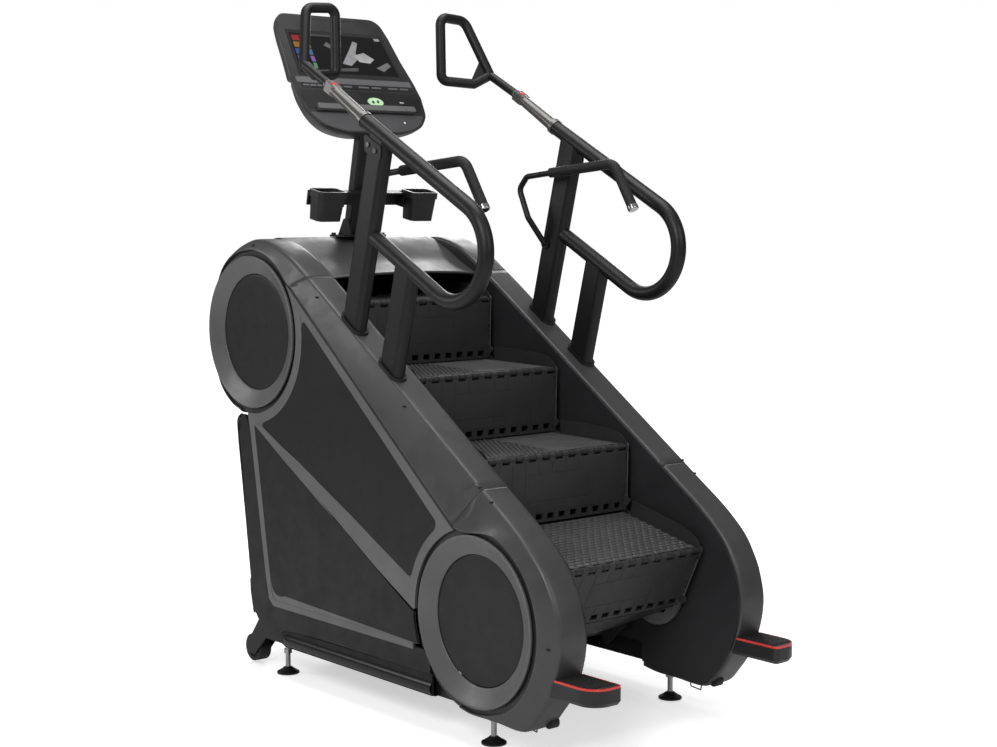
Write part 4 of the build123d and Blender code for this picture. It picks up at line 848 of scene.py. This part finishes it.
def foot_shade_slab(side, mirror):
    """Near-black slab set back between the tube and the skirt: painted shade in the recess
    there.
    """
    shape = bmesh.new()
    prism(shape, FOOT_SHADE_SLAB, SKIRT_INNER_X, 419.6, side_place(mirror))
    add_piece(f"foot_shade_slab_{side}", shape, MATERIALS["vent_black"],
              smooth=False)


def rear_guard(side, mirror):
    """Bent tube and rod behind the back edge, and the bracket at their foot."""
    start, control, end = [(mirror * GUARD_X, y, z) for y, z in GUARD_BEND]
    path = [(mirror * GUARD_X, y, z) for y, z in GUARD_TUBE] + bend(start, control, end, 6)
    rod = [(mirror * GUARD_ROD_X, 716 + 73 * t, 262 + 516 * t) for t in (0, 0.34, 0.68, 1.0)]
    shape = bmesh.new()
    tube(shape, path, radius=10.5, segments=18)
    tube(shape, rod, radius=4.5, segments=12)
    add_piece(f"rear_guard_tube_{side}", shape, MATERIALS["gloss_black"],
              sharp=60)
    shape = bmesh.new()
    prism(shape, GUARD_FOOT, 384.0, 408.0, side_place(mirror))
    add_piece(f"rear_guard_foot_{side}", shape, MATERIALS["panel_black"],
              smooth=False, bevel=3.0)


def front_roller(side, mirror):
    """Small roller on its axle under the front end, with a flat arm and a bent wire."""
    shape = bmesh.new()
    for inner, outer, radius, segments in ((316, 344, 17, 28), (312, 348, 5, 12)):
        tube(shape, [(mirror * x, *ROLLER_AXIS) for x in (inner, outer)], radius, segments)
    add_piece(f"front_roller_{side}", shape, MATERIALS["wheel_rubber"],
              sharp=40)
    shape = bmesh.new()
    tube(shape, [(mirror * WIRE_X, y, z) for y, z in ROLLER_WIRE], radius=2.2, segments=10)
    prism(shape, ROLLER_ARM, 324.0, 336.0, side_place(mirror))
    add_piece(f"front_roller_arm_{side}", shape, MATERIALS["black_metal"],
              sharp=40)


for side, mirror in SIDES:
    for build in (skirt, foot_tube, foot_shade_slab, rear_guard, front_roller):
        build(side, mirror)

# ---------------------------------------------------------------- hood
# Middle line (y, z), from the mouth at the front over the top and down the back
HOOD_LINE = [
    (402, 1296), (500, 1328), (575, 1366), (645, 1396), (705, 1404), (775, 1376),
    (845, 1311), (892, 1220), (911, 1110), (900, 1010), (860, 920), (800, 866), (745, 841),
]
HOOD_HALF_WIDTH = 303.0
HOOD_COLUMNS = 33
# Rolled lip of the mouth, from the inside out: offsets (y, z)
HOOD_LIP = [(44, -3.5), (20, -5.5), (5, -7.5), (-0.6, -5.5), (-1.8, -2.0), (0.5, 1.4)]
# Near-black slabs behind the mouth and down the back, painted shade inside the hood: outlines
# (y, z)
SHADE_SLAB_HALF_WIDTH = 306.0
HOOD_SHADE_OUTLINES = (
    [(870, 1190), (880, 1190), (830, 1300), (740, 1378), (700, 1392), (640, 1384),
     (640, 1378), (700, 1386), (735, 1370), (822, 1294)],
    [(868, 920), (878, 920), (880, 1200), (870, 1200)],
)


def hood():
    curve = smooth_curve(HOOD_LINE, start_dir=(0.97, 0.24), end_dir=(-0.9, -0.43))
    mouth = curve[0]
    rows = []
    for j in range(HOOD_COLUMNS):
        across = -1 + 2 * j / (HOOD_COLUMNS - 1)
        x = HOOD_HALF_WIDTH * across
        arch = 1 - across * across
        lip_y = mouth.x + 14 * (1 - arch) - 6
        lip_z = mouth.y - 14 + 14 * arch ** 0.7
        row = [(x, lip_y + dy, lip_z + dz) for dy, dz in HOOD_LIP]
        for i, point in enumerate(curve[1:], 1):
            fade = (1 - min(1.0, i / 10.0)) ** 2    # the lip's shift dies out over ten points
            hollow = 7.0 * math.exp(-((i - 8) / 6.0) ** 2) * arch
            row.append((x, point.x + (lip_y - mouth.x) * fade,
                        point.y + (lip_z - mouth.y) * fade - hollow))
        rows.append(row)
    shape = bmesh.new()
    grid(shape, rows)
    add_piece("hood_shell", shape, MATERIALS["cover_charcoal"],
              replaces=("top_hood",), sharp=45)


# painted shade: near-black slabs inside the hood, behind its mouth
def hood_shade_slabs():
    shape = bmesh.new()
    for outline in HOOD_SHADE_OUTLINES:
        prism(shape, outline, -SHADE_SLAB_HALF_WIDTH, SHADE_SLAB_HALF_WIDTH, side_place(1))
    add_piece("hood_shade_slabs", shape, MATERIALS["vent_black"], smooth=False)


hood()
hood_shade_slabs()

# ---------------------------------------------------------------- console
# The console face is a tilted plane: u runs along X, v up the face, height out of it
CONSOLE_ORIGIN = Vector((0, 622, 1835))
CONSOLE_UP = Vector((0, 0.570, 0.822))
CONSOLE_OUT = Vector((0, -0.822, 0.570))


def on_console(u, v, height):
    return CONSOLE_ORIGIN + Vector((u, 0, 0)) + CONSOLE_UP * v + CONSOLE_OUT * height


# Outline, v of the point it shrinks towards, and layers (height, scale, shift along v)
CONSOLE_LOFTS = (
    # upper part, round the screen
    (mirrored_outline([(247, 113), (234, 200), (224, 300), (208, 377)], [14, 60, 50, 50]), 245,
     [(-3.9, 0.995, 0), (-6, 1.0, 0), (-12, 1.0, 0), (-26, 0.992, 0), (-40, 0.968, 0),
      (-47, 0.935, 0), (-50.6, 0.885, 0), (-52, 0.82, 0)]),
    # lower part, behind the keys
    (mirrored_outline([(119, -107.5), (202, -80), (242, -32), (254.5, 45), (248.5, 104)],
                      [70, 60, 55, 60, 10]), 0,
     [(-3.9, 0.995, 0), (-6, 1.0, 0), (-12, 0.998, 0), (-28, 0.97, 0), (-46, 0.915, 1),
      (-62, 0.84, 2), (-74, 0.755, 3), (-81, 0.66, 4), (-84, 0.55, 5)]),
    # neck between them
    (mirrored_outline([(196, 86), (196, 128)], [8, 8]), 107, [(-8, 1.0, 0), (-42, 0.98, 0)]),
)


def console_shell():
    """Three lofts, open at the face and capped at the back."""
    shape = bmesh.new()
    for outline, centre, layers in CONSOLE_LOFTS:
        rows = [[on_console(u * scale, centre + (v - centre) * scale + shift, height)
                 for u, v in outline] for height, scale, shift in layers]
        verts = grid(shape, rows, close_columns=True)
        shape.faces.new(verts[-1])
    add_piece("console_shell", shape, MATERIALS["cover_charcoal"],
              replaces=("console_housing",), sharp=50)


def decal(name, outlines, material, low, high, body="frame"):
    """Thin slabs on the console face."""
    shape = bmesh.new()
    for outline in outlines:
        prism(shape, outline, low, high, on_console)
    add_piece(name, shape, material, body=body, smooth=False)


SOFT_KEYS = [(-205, 24), (-176, 24), (-147, 24), (-37, 34), (28, 44), (80, 40), (150, 40),
             (197, 36)]  # (u of the middle, width)
# Name, outlines, material, slot, low and high face, body it rides on
DECALS = (
    ("key_strip", [round_rect(0, 78, 446, 19, 4)], "key_black", "console_black",
     0.1, 0.5, "frame"),
    ("lower_gloss_panel", [mirrored_outline([(228, -16), (243, 22), (246, 61)], [8, 20, 6])],
     "key_black", "console_black", 0.05, 0.45, "frame"),
    ("soft_keys", [round_rect(u, 79.5, width, 6.5, 1.5) for u, width in SOFT_KEYS],
     "key_grey", "console_black", 0.5, 1.1, "frame"),
    ("grey_strip", [mirrored_outline([(236, 90), (233, 113)], [4, 4])],
     "key_grey", "trim_grey", 0.05, 0.4, "frame"),
    ("top_vents", [round_rect(70, 362, 54, 5, 2.4), round_rect(-40, 362, 74, 5, 2.4)],
     "vent_black", "console_black", 0.02, 0.25, "frame"),
    ("panel_mark", [round_rect(162, 22, 17, 4.5, 1.2)],
     "mark_white", "console_black", 0.46, 0.7, "frame"),
    ("panel_facet_left", [round_rect(-117, 24, 236, 62, 8)],
     "panel_black", "console_black", 0.45, 0.62, "frame"),
    ("panel_facet_right", [round_rect(167, 24, 136, 62, 8)],
     "panel_black", "console_black", 0.45, 0.62, "frame"),
    # pale oval with two dark footstep marks
    ("start_button_rim", [ellipse(50, 19, 30.6, 16.8, 40)],
     "pale_green", "button_green", 2.5, 3.0, "start_button"),
    ("start_button_mark", [round_rect(40, 18, 10, 13, 4.8), round_rect(60, 20, 10, 13, 4.8)],
     "dark_green", "button_green", 3.0, 3.4, "start_button"),
    ("status_dot", [ellipse(138, -62, 3.6, 3.6, 20)],
     "dot_white", "console_black", 0.1, 0.7, "frame"),
    ("chin_panel", [mirrored_outline([(122, -101), (196, -76), (232, -30)], [40, 40, 10])],
     "chin_grey", "console_black", 0.02, 0.08, "frame"),
)

console_shell()
for name, outlines, material, slot, low, high, body in DECALS:
    decal(name, outlines, MATERIALS[material], low, high, body)

# ---------------------------------------------------------------- screen picture
# The screen narrows upwards; places on it are shares of its width and height
SCREEN_HALF_WIDTH = 215    # at the bottom
SCREEN_TAPER = 17          # lost from the half width at the top
SCREEN_BOTTOM = 122
SCREEN_HEIGHT = 184


def on_screen(across, up):
    half = SCREEN_HALF_WIDTH - SCREEN_TAPER * up
    return (-half + 2 * half * across, SCREEN_BOTTOM + SCREEN_HEIGHT * up)


def glow(name, colour, strength):
    """Nearly black surface lit by its own slightly mottled colour."""
    net = ShaderTree(name)
    mottle = net.ramp(net.noise(scale=22, detail=4.0, rough=0.6), 0.0, 1.0)
    light = net.mix(mottle, tuple(c * 0.72 for c in colour), colour)
    net.feed_shader(Base_Color=(0.01, 0.01, 0.01), Roughness=0.2, Emission_Color=light,
                    Emission_Strength=strength, Specular_IOR_Level=0.04)
    return net.material


def screen_area(name, points, colour, strength=0.8, low=-0.15, high=0.05):
    decal(name, [[on_screen(*point) for point in points]],
          glow(name + "_glow", colour, strength), low, high)


def screen_box(name, left, bottom, right, top, colour, **settings):
    corners = [(left, bottom), (right, bottom), (right, top), (left, top)]
    screen_area(name, corners, colour, **settings)


# Two tiles in each row, rows from the top down
TILE_COLOURS = [
    ((0.40, 0.03, 0.03), (0.35, 0.02, 0.10)),
    ((0.42, 0.20, 0.03), (0.40, 0.28, 0.04)),
    ((0.05, 0.12, 0.45), (0.08, 0.22, 0.40)),
    ((0.22, 0.10, 0.42), (0.30, 0.14, 0.45)),
    ((0.10, 0.34, 0.12), (0.16, 0.40, 0.20)),
]
TILE_LEFT, TILE_TOP = 0.045, 0.90
TILE_PITCH_ACROSS, TILE_PITCH_DOWN = 0.085, 0.155
TILE_WIDTH, TILE_HEIGHT = 0.075, 0.125
# Abstract shapes: colour, then points
PICTURE_SHAPES = [
    ((0.36, 0.36, 0.37), [(0.46, 0.30), (0.58, 0.62), (0.66, 0.84), (0.70, 0.80),
                          (0.64, 0.58), (0.62, 0.40), (0.54, 0.26)]),
    ((0.50, 0.50, 0.50), [(0.60, 0.50), (0.72, 0.58), (0.80, 0.44), (0.74, 0.34),
                          (0.64, 0.36)]),
    ((0.16, 0.16, 0.165), [(0.34, 0.70), (0.46, 0.56), (0.50, 0.60), (0.38, 0.78)]),
    ((0.20, 0.20, 0.20), [(0.78, 0.24), (0.92, 0.38), (0.94, 0.30), (0.84, 0.16)]),
    ((0.10, 0.10, 0.10), [(0.40, 0.18), (0.60, 0.22), (0.58, 0.14), (0.42, 0.12)]),
]


def screen_picture():
    screen_box("picture_dark", 0.03, 0.06, 0.97, 0.95, (0.004, 0.004, 0.005), strength=1.0,
               low=-0.2, high=-0.02)
    for row, colours in enumerate(TILE_COLOURS):
        for column, colour in enumerate(colours):
            left = TILE_LEFT + TILE_PITCH_ACROSS * column
            top = TILE_TOP - TILE_PITCH_DOWN * row
            screen_box(f"tile_{row}_{column}", left, top - TILE_HEIGHT, left + TILE_WIDTH,
                       top, colour)
    for i, (colour, points) in enumerate(PICTURE_SHAPES):
        screen_area(f"picture_shape_{i}", points, colour, strength=0.9)
    screen_box("picture_bar", 0.24, 0.905, 0.50, 0.945, (0.10, 0.10, 0.10))
    screen_box("picture_corner", 0.90, 0.88, 0.955, 0.94, (0.5, 0.5, 0.5))


screen_picture()

# ---------------------------------------------------------------- step surfaces
# Step profile (y, z): each tread runs from its nose back to a corner, and the riser below
# it runs from the nose down to the corner before. Steps 1 to 4, from the lowest up.
NOSES = [(-646, 503), (-335, 783), (-10, 996), (315, 1209)]
CORNERS = [(-548, 318), (-321, 575), (4, 788), (329, 1001), (650, 1212)]
TREAD_HALF_WIDTH = 272.0
TREAD_START = 21.0         # pattern starts this far from the nose
TREAD_END_GAP = 14         # and ends this far from the corner
PATTERN_HEIGHT = 2.6
BRICK_PITCH = 28.0
BRICK_ROW_PITCH = 16.6
RIB_SLOPE = 0.62
RIB_HALF_WIDTH = 4.6
MIDDLE_GAP = 4.0           # half the gap between the two fields of ribs
NOSE_RIDGE_HALF = 22       # half width of the middle ridge at the nose
NOSE_RIDGE_PITCH = 22.6
# Across a riser: five narrow plates in the middle, three wide ones on each side
PLATE_WIDTH = 52
MIDDLE_HALF = 130
SIDE_PLATES = ((130, 182), (182, 234), (234, 277))
PLATE_START = 21
PLATE_END_GAP = 33


def sloping_plane(origin, along, normal):
    """Places (x, distance along, height) on a plane given in (y, z)."""
    return lambda x, v, height: Vector((
        x, origin.x + along.x * v + normal.x * height,
        origin.y + along.y * v + normal.y * height))


def chamfer_pad(shape, place, left, right, near, far, low, high, chamfer):
    """Block with its top edges chamfered."""
    base = [(left, near), (right, near), (right, far), (left, far)]
    top = [(left + chamfer, near + chamfer), (right - chamfer, near + chamfer),
           (right - chamfer, far - chamfer), (left + chamfer, far - chamfer)]
    rings = [[shape.verts.new(place(u, v, height) * MM) for u, v in outline]
             for outline, height in ((base, low), (base, high - chamfer * 0.6), (top, high))]
    shape.faces.new(rings[2])
    shape.faces.new(rings[0])
    for lower, upper in zip(rings, rings[1:]):
        for i in range(4):
            j = (i + 1) % 4
            shape.faces.new((lower[i], lower[j], upper[j], upper[i]))


def rib(shape, place, start, near, far, slope, left, right, top):
    """Slanted raised rib, shortened to stay between the edges left and right."""
    half = RIB_HALF_WIDTH
    ends = [near, far]
    for edge in (left + half, right - half):
        ends.append(near + (edge - start) / slope)
    inside = [v for v in ends if near <= v <= far and
              left + half - 0.01 <= start + slope * (v - near) <= right - half + 0.01]
    if len(inside) < 2 or max(inside) - min(inside) < 12:
        return
    section = ((-half, -0.3), (-half + 0.8, top * 0.6), (-1.7, top),
               (1.7, top), (half - 0.8, top * 0.6), (half, -0.3))
    rows = []
    for v in (min(inside) + 1.0, max(inside) - 1.0):
        centre = start + slope * (v - near)
        rows.append([place(centre + offset, v, height) for offset, height in section])
    cap_ends(shape, grid(shape, rows))


def tread_bricks(shape, place, end):
    """Raised bricks, every second row shifted by half a brick."""
    row = 0
    v = TREAD_START
    while v < end:
        shift = BRICK_PITCH / 2 if row % 2 else 0.0
        for i in range(-10, 10):
            start = i * BRICK_PITCH + shift
            left = max(start + 2.6, -TREAD_HALF_WIDTH)
            right = min(start + 25.4, TREAD_HALF_WIDTH)
            if right - left > 6:
                chamfer_pad(shape, place, left, right, v + 2.0, v + 14.6, low=-0.2,
                            high=PATTERN_HEIGHT, chamfer=2.0)
        v += BRICK_ROW_PITCH
        row += 1


def tread_ribs(shape, place, end):
    """Slanted ribs, lower, sparser and leaning the other way on the right half."""
    for lean, left, right, pitch, top in (
            (1, -TREAD_HALF_WIDTH, -MIDDLE_GAP, 17.0, PATTERN_HEIGHT),
            (-1, MIDDLE_GAP, TREAD_HALF_WIDTH, 25.0, 1.1)):
        drift = RIB_SLOPE * (end - TREAD_START)
        start = left - drift
        while start < right + drift:
            finish_u = start + lean * drift
            if max(start, finish_u) > left + 9 and min(start, finish_u) < right - 9:
                rib(shape, place, start, TREAD_START, end, lean * RIB_SLOPE, left, right, top)
            start += pitch


def tread(number, nose, corner):
    along = (corner - nose).normalized()
    place = sloping_plane(nose, along, Vector((-along.y, along.x)))
    end = (corner - nose).length - TREAD_END_GAP
    shape = bmesh.new()
    pattern = tread_bricks if number == 1 else tread_ribs
    pattern(shape, place, end)

    ridges = [(-NOSE_RIDGE_HALF, NOSE_RIDGE_HALF)]
    for i in range(11):
        inner = NOSE_RIDGE_HALF + i * NOSE_RIDGE_PITCH
        outer = inner + NOSE_RIDGE_PITCH
        ridges += [(inner, outer), (-outer, -inner)]
    for left, right in ridges:
        chamfer_pad(shape, place, left + 1.2, right - 1.2, 19.6, 22.0, low=-1.0, high=2.2,
                    chamfer=0.9)
    add_piece(f"tread_pads_{number}", shape, MATERIALS["tread_pad"],
              body="step_train", smooth=False)


def riser_plates(number, place, length):
    """Raised plates with narrow grooves between them."""
    end = length - PLATE_END_GAP
    middle = [(-MIDDLE_HALF + PLATE_WIDTH * i, -MIDDLE_HALF + PLATE_WIDTH * (i + 1))
              for i in range(5)]
    sides = [tuple(sorted((sign * inner, sign * outer)))
             for sign in (-1, 1) for inner, outer in SIDE_PLATES]
    plates = [(-MIDDLE_HALF, MIDDLE_HALF, 62, length - 66)]
    plates += [(left, right, PLATE_START, 60) for left, right in middle]
    plates += [(left, right, PLATE_START, end) for left, right in sides]
    plates += [(left, right, length - 64, end) for left, right in middle]
    shape = bmesh.new()
    for left, right, near, far in plates:
        chamfer_pad(shape, place, left + 0.7, right - 0.7, near + 0.7, far - 0.7, low=-0.3,
                    high=0.9, chamfer=0.5)
    add_piece(f"riser_plates_{number}", shape, MATERIALS["step_grey"],
              body="step_train", smooth=False)


def riser_links(number, place, length):
    """Link rod, pin and bracket at each side of the riser."""
    rod = [(26, 3), (60, 6), (length * 0.62, 9), (length - 36, 12)]
    bracket = [(length - 52, -4), (length - 44, 18), (length - 30, 24), (length - 20, 16),
               (length - 16, -4)]
    shape = bmesh.new()
    for sign in (-1, 1):
        tube(shape, [place(sign * 281.5, v, height) for v, height in rod],
             radius=2.3, segments=10)
        tube(shape, [place(sign * x, length - 34, 14) for x in (279, 288)],
             radius=6.5, segments=16)
        prism(shape, bracket, 279.2, 281.2,
              lambda v, height, x: place(sign * x, v, height))
    add_piece(f"riser_links_{number}", shape, MATERIALS["link_dark"],
              body="step_train", sharp=40)


def riser(number, nose, corner_below):
    along = (corner_below - nose).normalized()
    place = sloping_plane(nose, along, Vector((along.y, -along.x)))
    length = (corner_below - nose).length
    riser_plates(number, place, length)
    riser_links(number, place, length)


for number, nose in enumerate(NOSES, 1):
    tread(number, Vector(nose), Vector(CORNERS[number]))
    riser(number, Vector(nose), Vector(CORNERS[number - 1]))

# ---------------------------------------------------------------- edges of the CAD pieces
# Bevel width of each CAD piece
SOFT_EDGES = {
    "side_trim_right": 1.6, "side_trim_left": 1.6, "upper_side_panel_right": 1.0,
    "upper_side_panel_left": 1.0, "lower_side_panel_right": 1.0,
    "lower_side_panel_left": 1.0, "console_bezel": 0.8, "console_ledge": 2.4,
    "cup_holders": 1.6, "foot_pods": 2.4, "pod_treads": 0.7, "pod_lights": 0.8,
    "holder_crossbar": 1.2, "upright_collars": 1.6, "rail_brackets": 0.8, "mast": 1.0,
    "base_frame": 1.2, "start_button": 1.2, "transport_wheel_left": 2.0,
    "transport_wheel_right": 2.0, "front_foot_left": 1.2, "front_foot_right": 1.2,
    "rear_foot_left": 1.2, "rear_foot_right": 1.2, "risers": 0.5, "treads": 0.6,
    "fasteners": 0.7, "lane_walls": 0.8, "hand_grips": 1.2, "rear_cover": 1.0,
    "step_side_arms": 0.6,
}
for name, width in SOFT_EDGES.items():
    add_bevel(NODES[name], "soft_edges", width, angle=38)

# ---------------------------------------------------------------- stage (metres)
FLOOR_HALF = 30.0
FLOOR_Z = -0.0015
# Name, location, point it faces, size and power
LIGHTS = (
    ("key", (-4.4, -2.4, 3.9), (0, -0.1, 0.9), 2.0, 150),
    ("front", (0.6, -5.0, 3.4), (0, 0, 0.8), 2.4, 60),
    ("rim", (3.0, 3.2, 3.0), (0, 0.2, 1.1), 2.0, 70),
    ("back_left", (-3.6, 3.6, 2.6), (0, 0.2, 1.0), 1.6, 45),
    ("top", (0.0, 0.2, 4.8), (0, 0, 0.8), 2.6, 95),
)
CAMERA_PLACE = (-3.5373, -4.1938, 1.5170)
CAMERA_DOWN = 5.458     # degrees below level
CAMERA_TURN = -40.536   # degrees about Z
CAMERA_LENS = 64.38


def floor_paper():
    """White paper that glows towards the camera only, so it doesn't light the machine."""
    net = ShaderTree("floor_paper")
    patches = net.noise(scale=1.3, detail=3.0, rough=0.5)
    tone = net.mix(net.ramp(patches, 0.0, 1.0), (0.80, 0.80, 0.80), (0.84, 0.84, 0.84))
    net.feed_shader(Base_Color=tone, Roughness=0.8, Specular_IOR_Level=0.1)
    path = net.node("ShaderNodeLightPath")
    geometry = net.node("ShaderNodeNewGeometry")
    distance = net.node("ShaderNodeVectorMath", _operation="LENGTH")
    net.feed(distance.inputs[0], geometry.outputs["Position"])
    # painted light and shade: the glow is dimmer close to the machine and brighter far out,
    # where the lamps' light falls off
    strength = net.ramp(distance.outputs["Value"], low=0.56, high=1.0, start=1.1, end=3.4)
    net.feed_shader(
        Emission_Color=(1, 1, 1),
        Emission_Strength=net.math("MULTIPLY", path.outputs["Is Camera Ray"], strength))
    return net.material


def add_floor():
    mesh = bpy.data.meshes.new("floor")
    shape = bmesh.new()
    shape.faces.new([shape.verts.new((x * FLOOR_HALF, y * FLOOR_HALF, FLOOR_Z))
                     for x, y in ((-1, -1), (1, -1), (1, 1), (-1, 1))])
    shape.to_mesh(mesh)
    shape.free()
    floor = bpy.data.objects.new("floor", mesh)
    bpy.context.scene.collection.objects.link(floor)
    floor.data.materials.append(floor_paper())


def add_world():
    """White to the camera; for lighting, a soft sky that brightens upwards."""
    world = bpy.data.worlds.new("studio")
    world.use_nodes = True
    nodes = world.node_tree.nodes
    link = world.node_tree.links.new
    background = nodes["Background"]
    path = nodes.new("ShaderNodeLightPath")
    coords = nodes.new("ShaderNodeTexCoord")
    axes = nodes.new("ShaderNodeSeparateXYZ")
    sky = nodes.new("ShaderNodeMapRange")
    for key, value in (("From Min", -0.25), ("From Max", 0.9), ("To Min", 0.05),
                       ("To Max", 0.27)):
        sky.inputs[key].default_value = value
    link(coords.outputs["Generated"], axes.inputs[0])
    link(axes.outputs["Z"], sky.inputs["Value"])
    mix = nodes.new("ShaderNodeMix")
    mix.data_type = "FLOAT"
    link(path.outputs["Is Camera Ray"], mix.inputs["Factor"])
    link(sky.outputs["Result"], mix.inputs["A"])
    mix.inputs["B"].default_value = 1.0
    link(mix.outputs["Result"], background.inputs["Strength"])
    background.inputs[0].default_value = (1.0, 1.0, 1.0, 1.0)
    bpy.context.scene.world = world


def add_light(name, location, target, size, power):
    data = bpy.data.lights.new(name, "AREA")
    data.energy = power
    data.size = size
    light = bpy.data.objects.new(name, data)
    light.location = location
    direction = Vector(target) - Vector(location)
    light.rotation_euler = direction.to_track_quat("-Z", "Y").to_euler()
    bpy.context.scene.collection.objects.link(light)


def add_camera():
    data = bpy.data.cameras.new("camera")
    data.sensor_width = 36.0
    data.lens = CAMERA_LENS
    data.clip_end = 100
    camera = bpy.data.objects.new("camera", data)
    camera.location = CAMERA_PLACE
    camera.rotation_euler = (math.radians(90 - CAMERA_DOWN), 0, math.radians(CAMERA_TURN))
    bpy.context.scene.collection.objects.link(camera)
    bpy.context.scene.camera = camera
    bpy.context.scene.view_settings.view_transform = "Standard"


add_floor()
add_world()
for light in LIGHTS:
    add_light(*light)
add_camera()
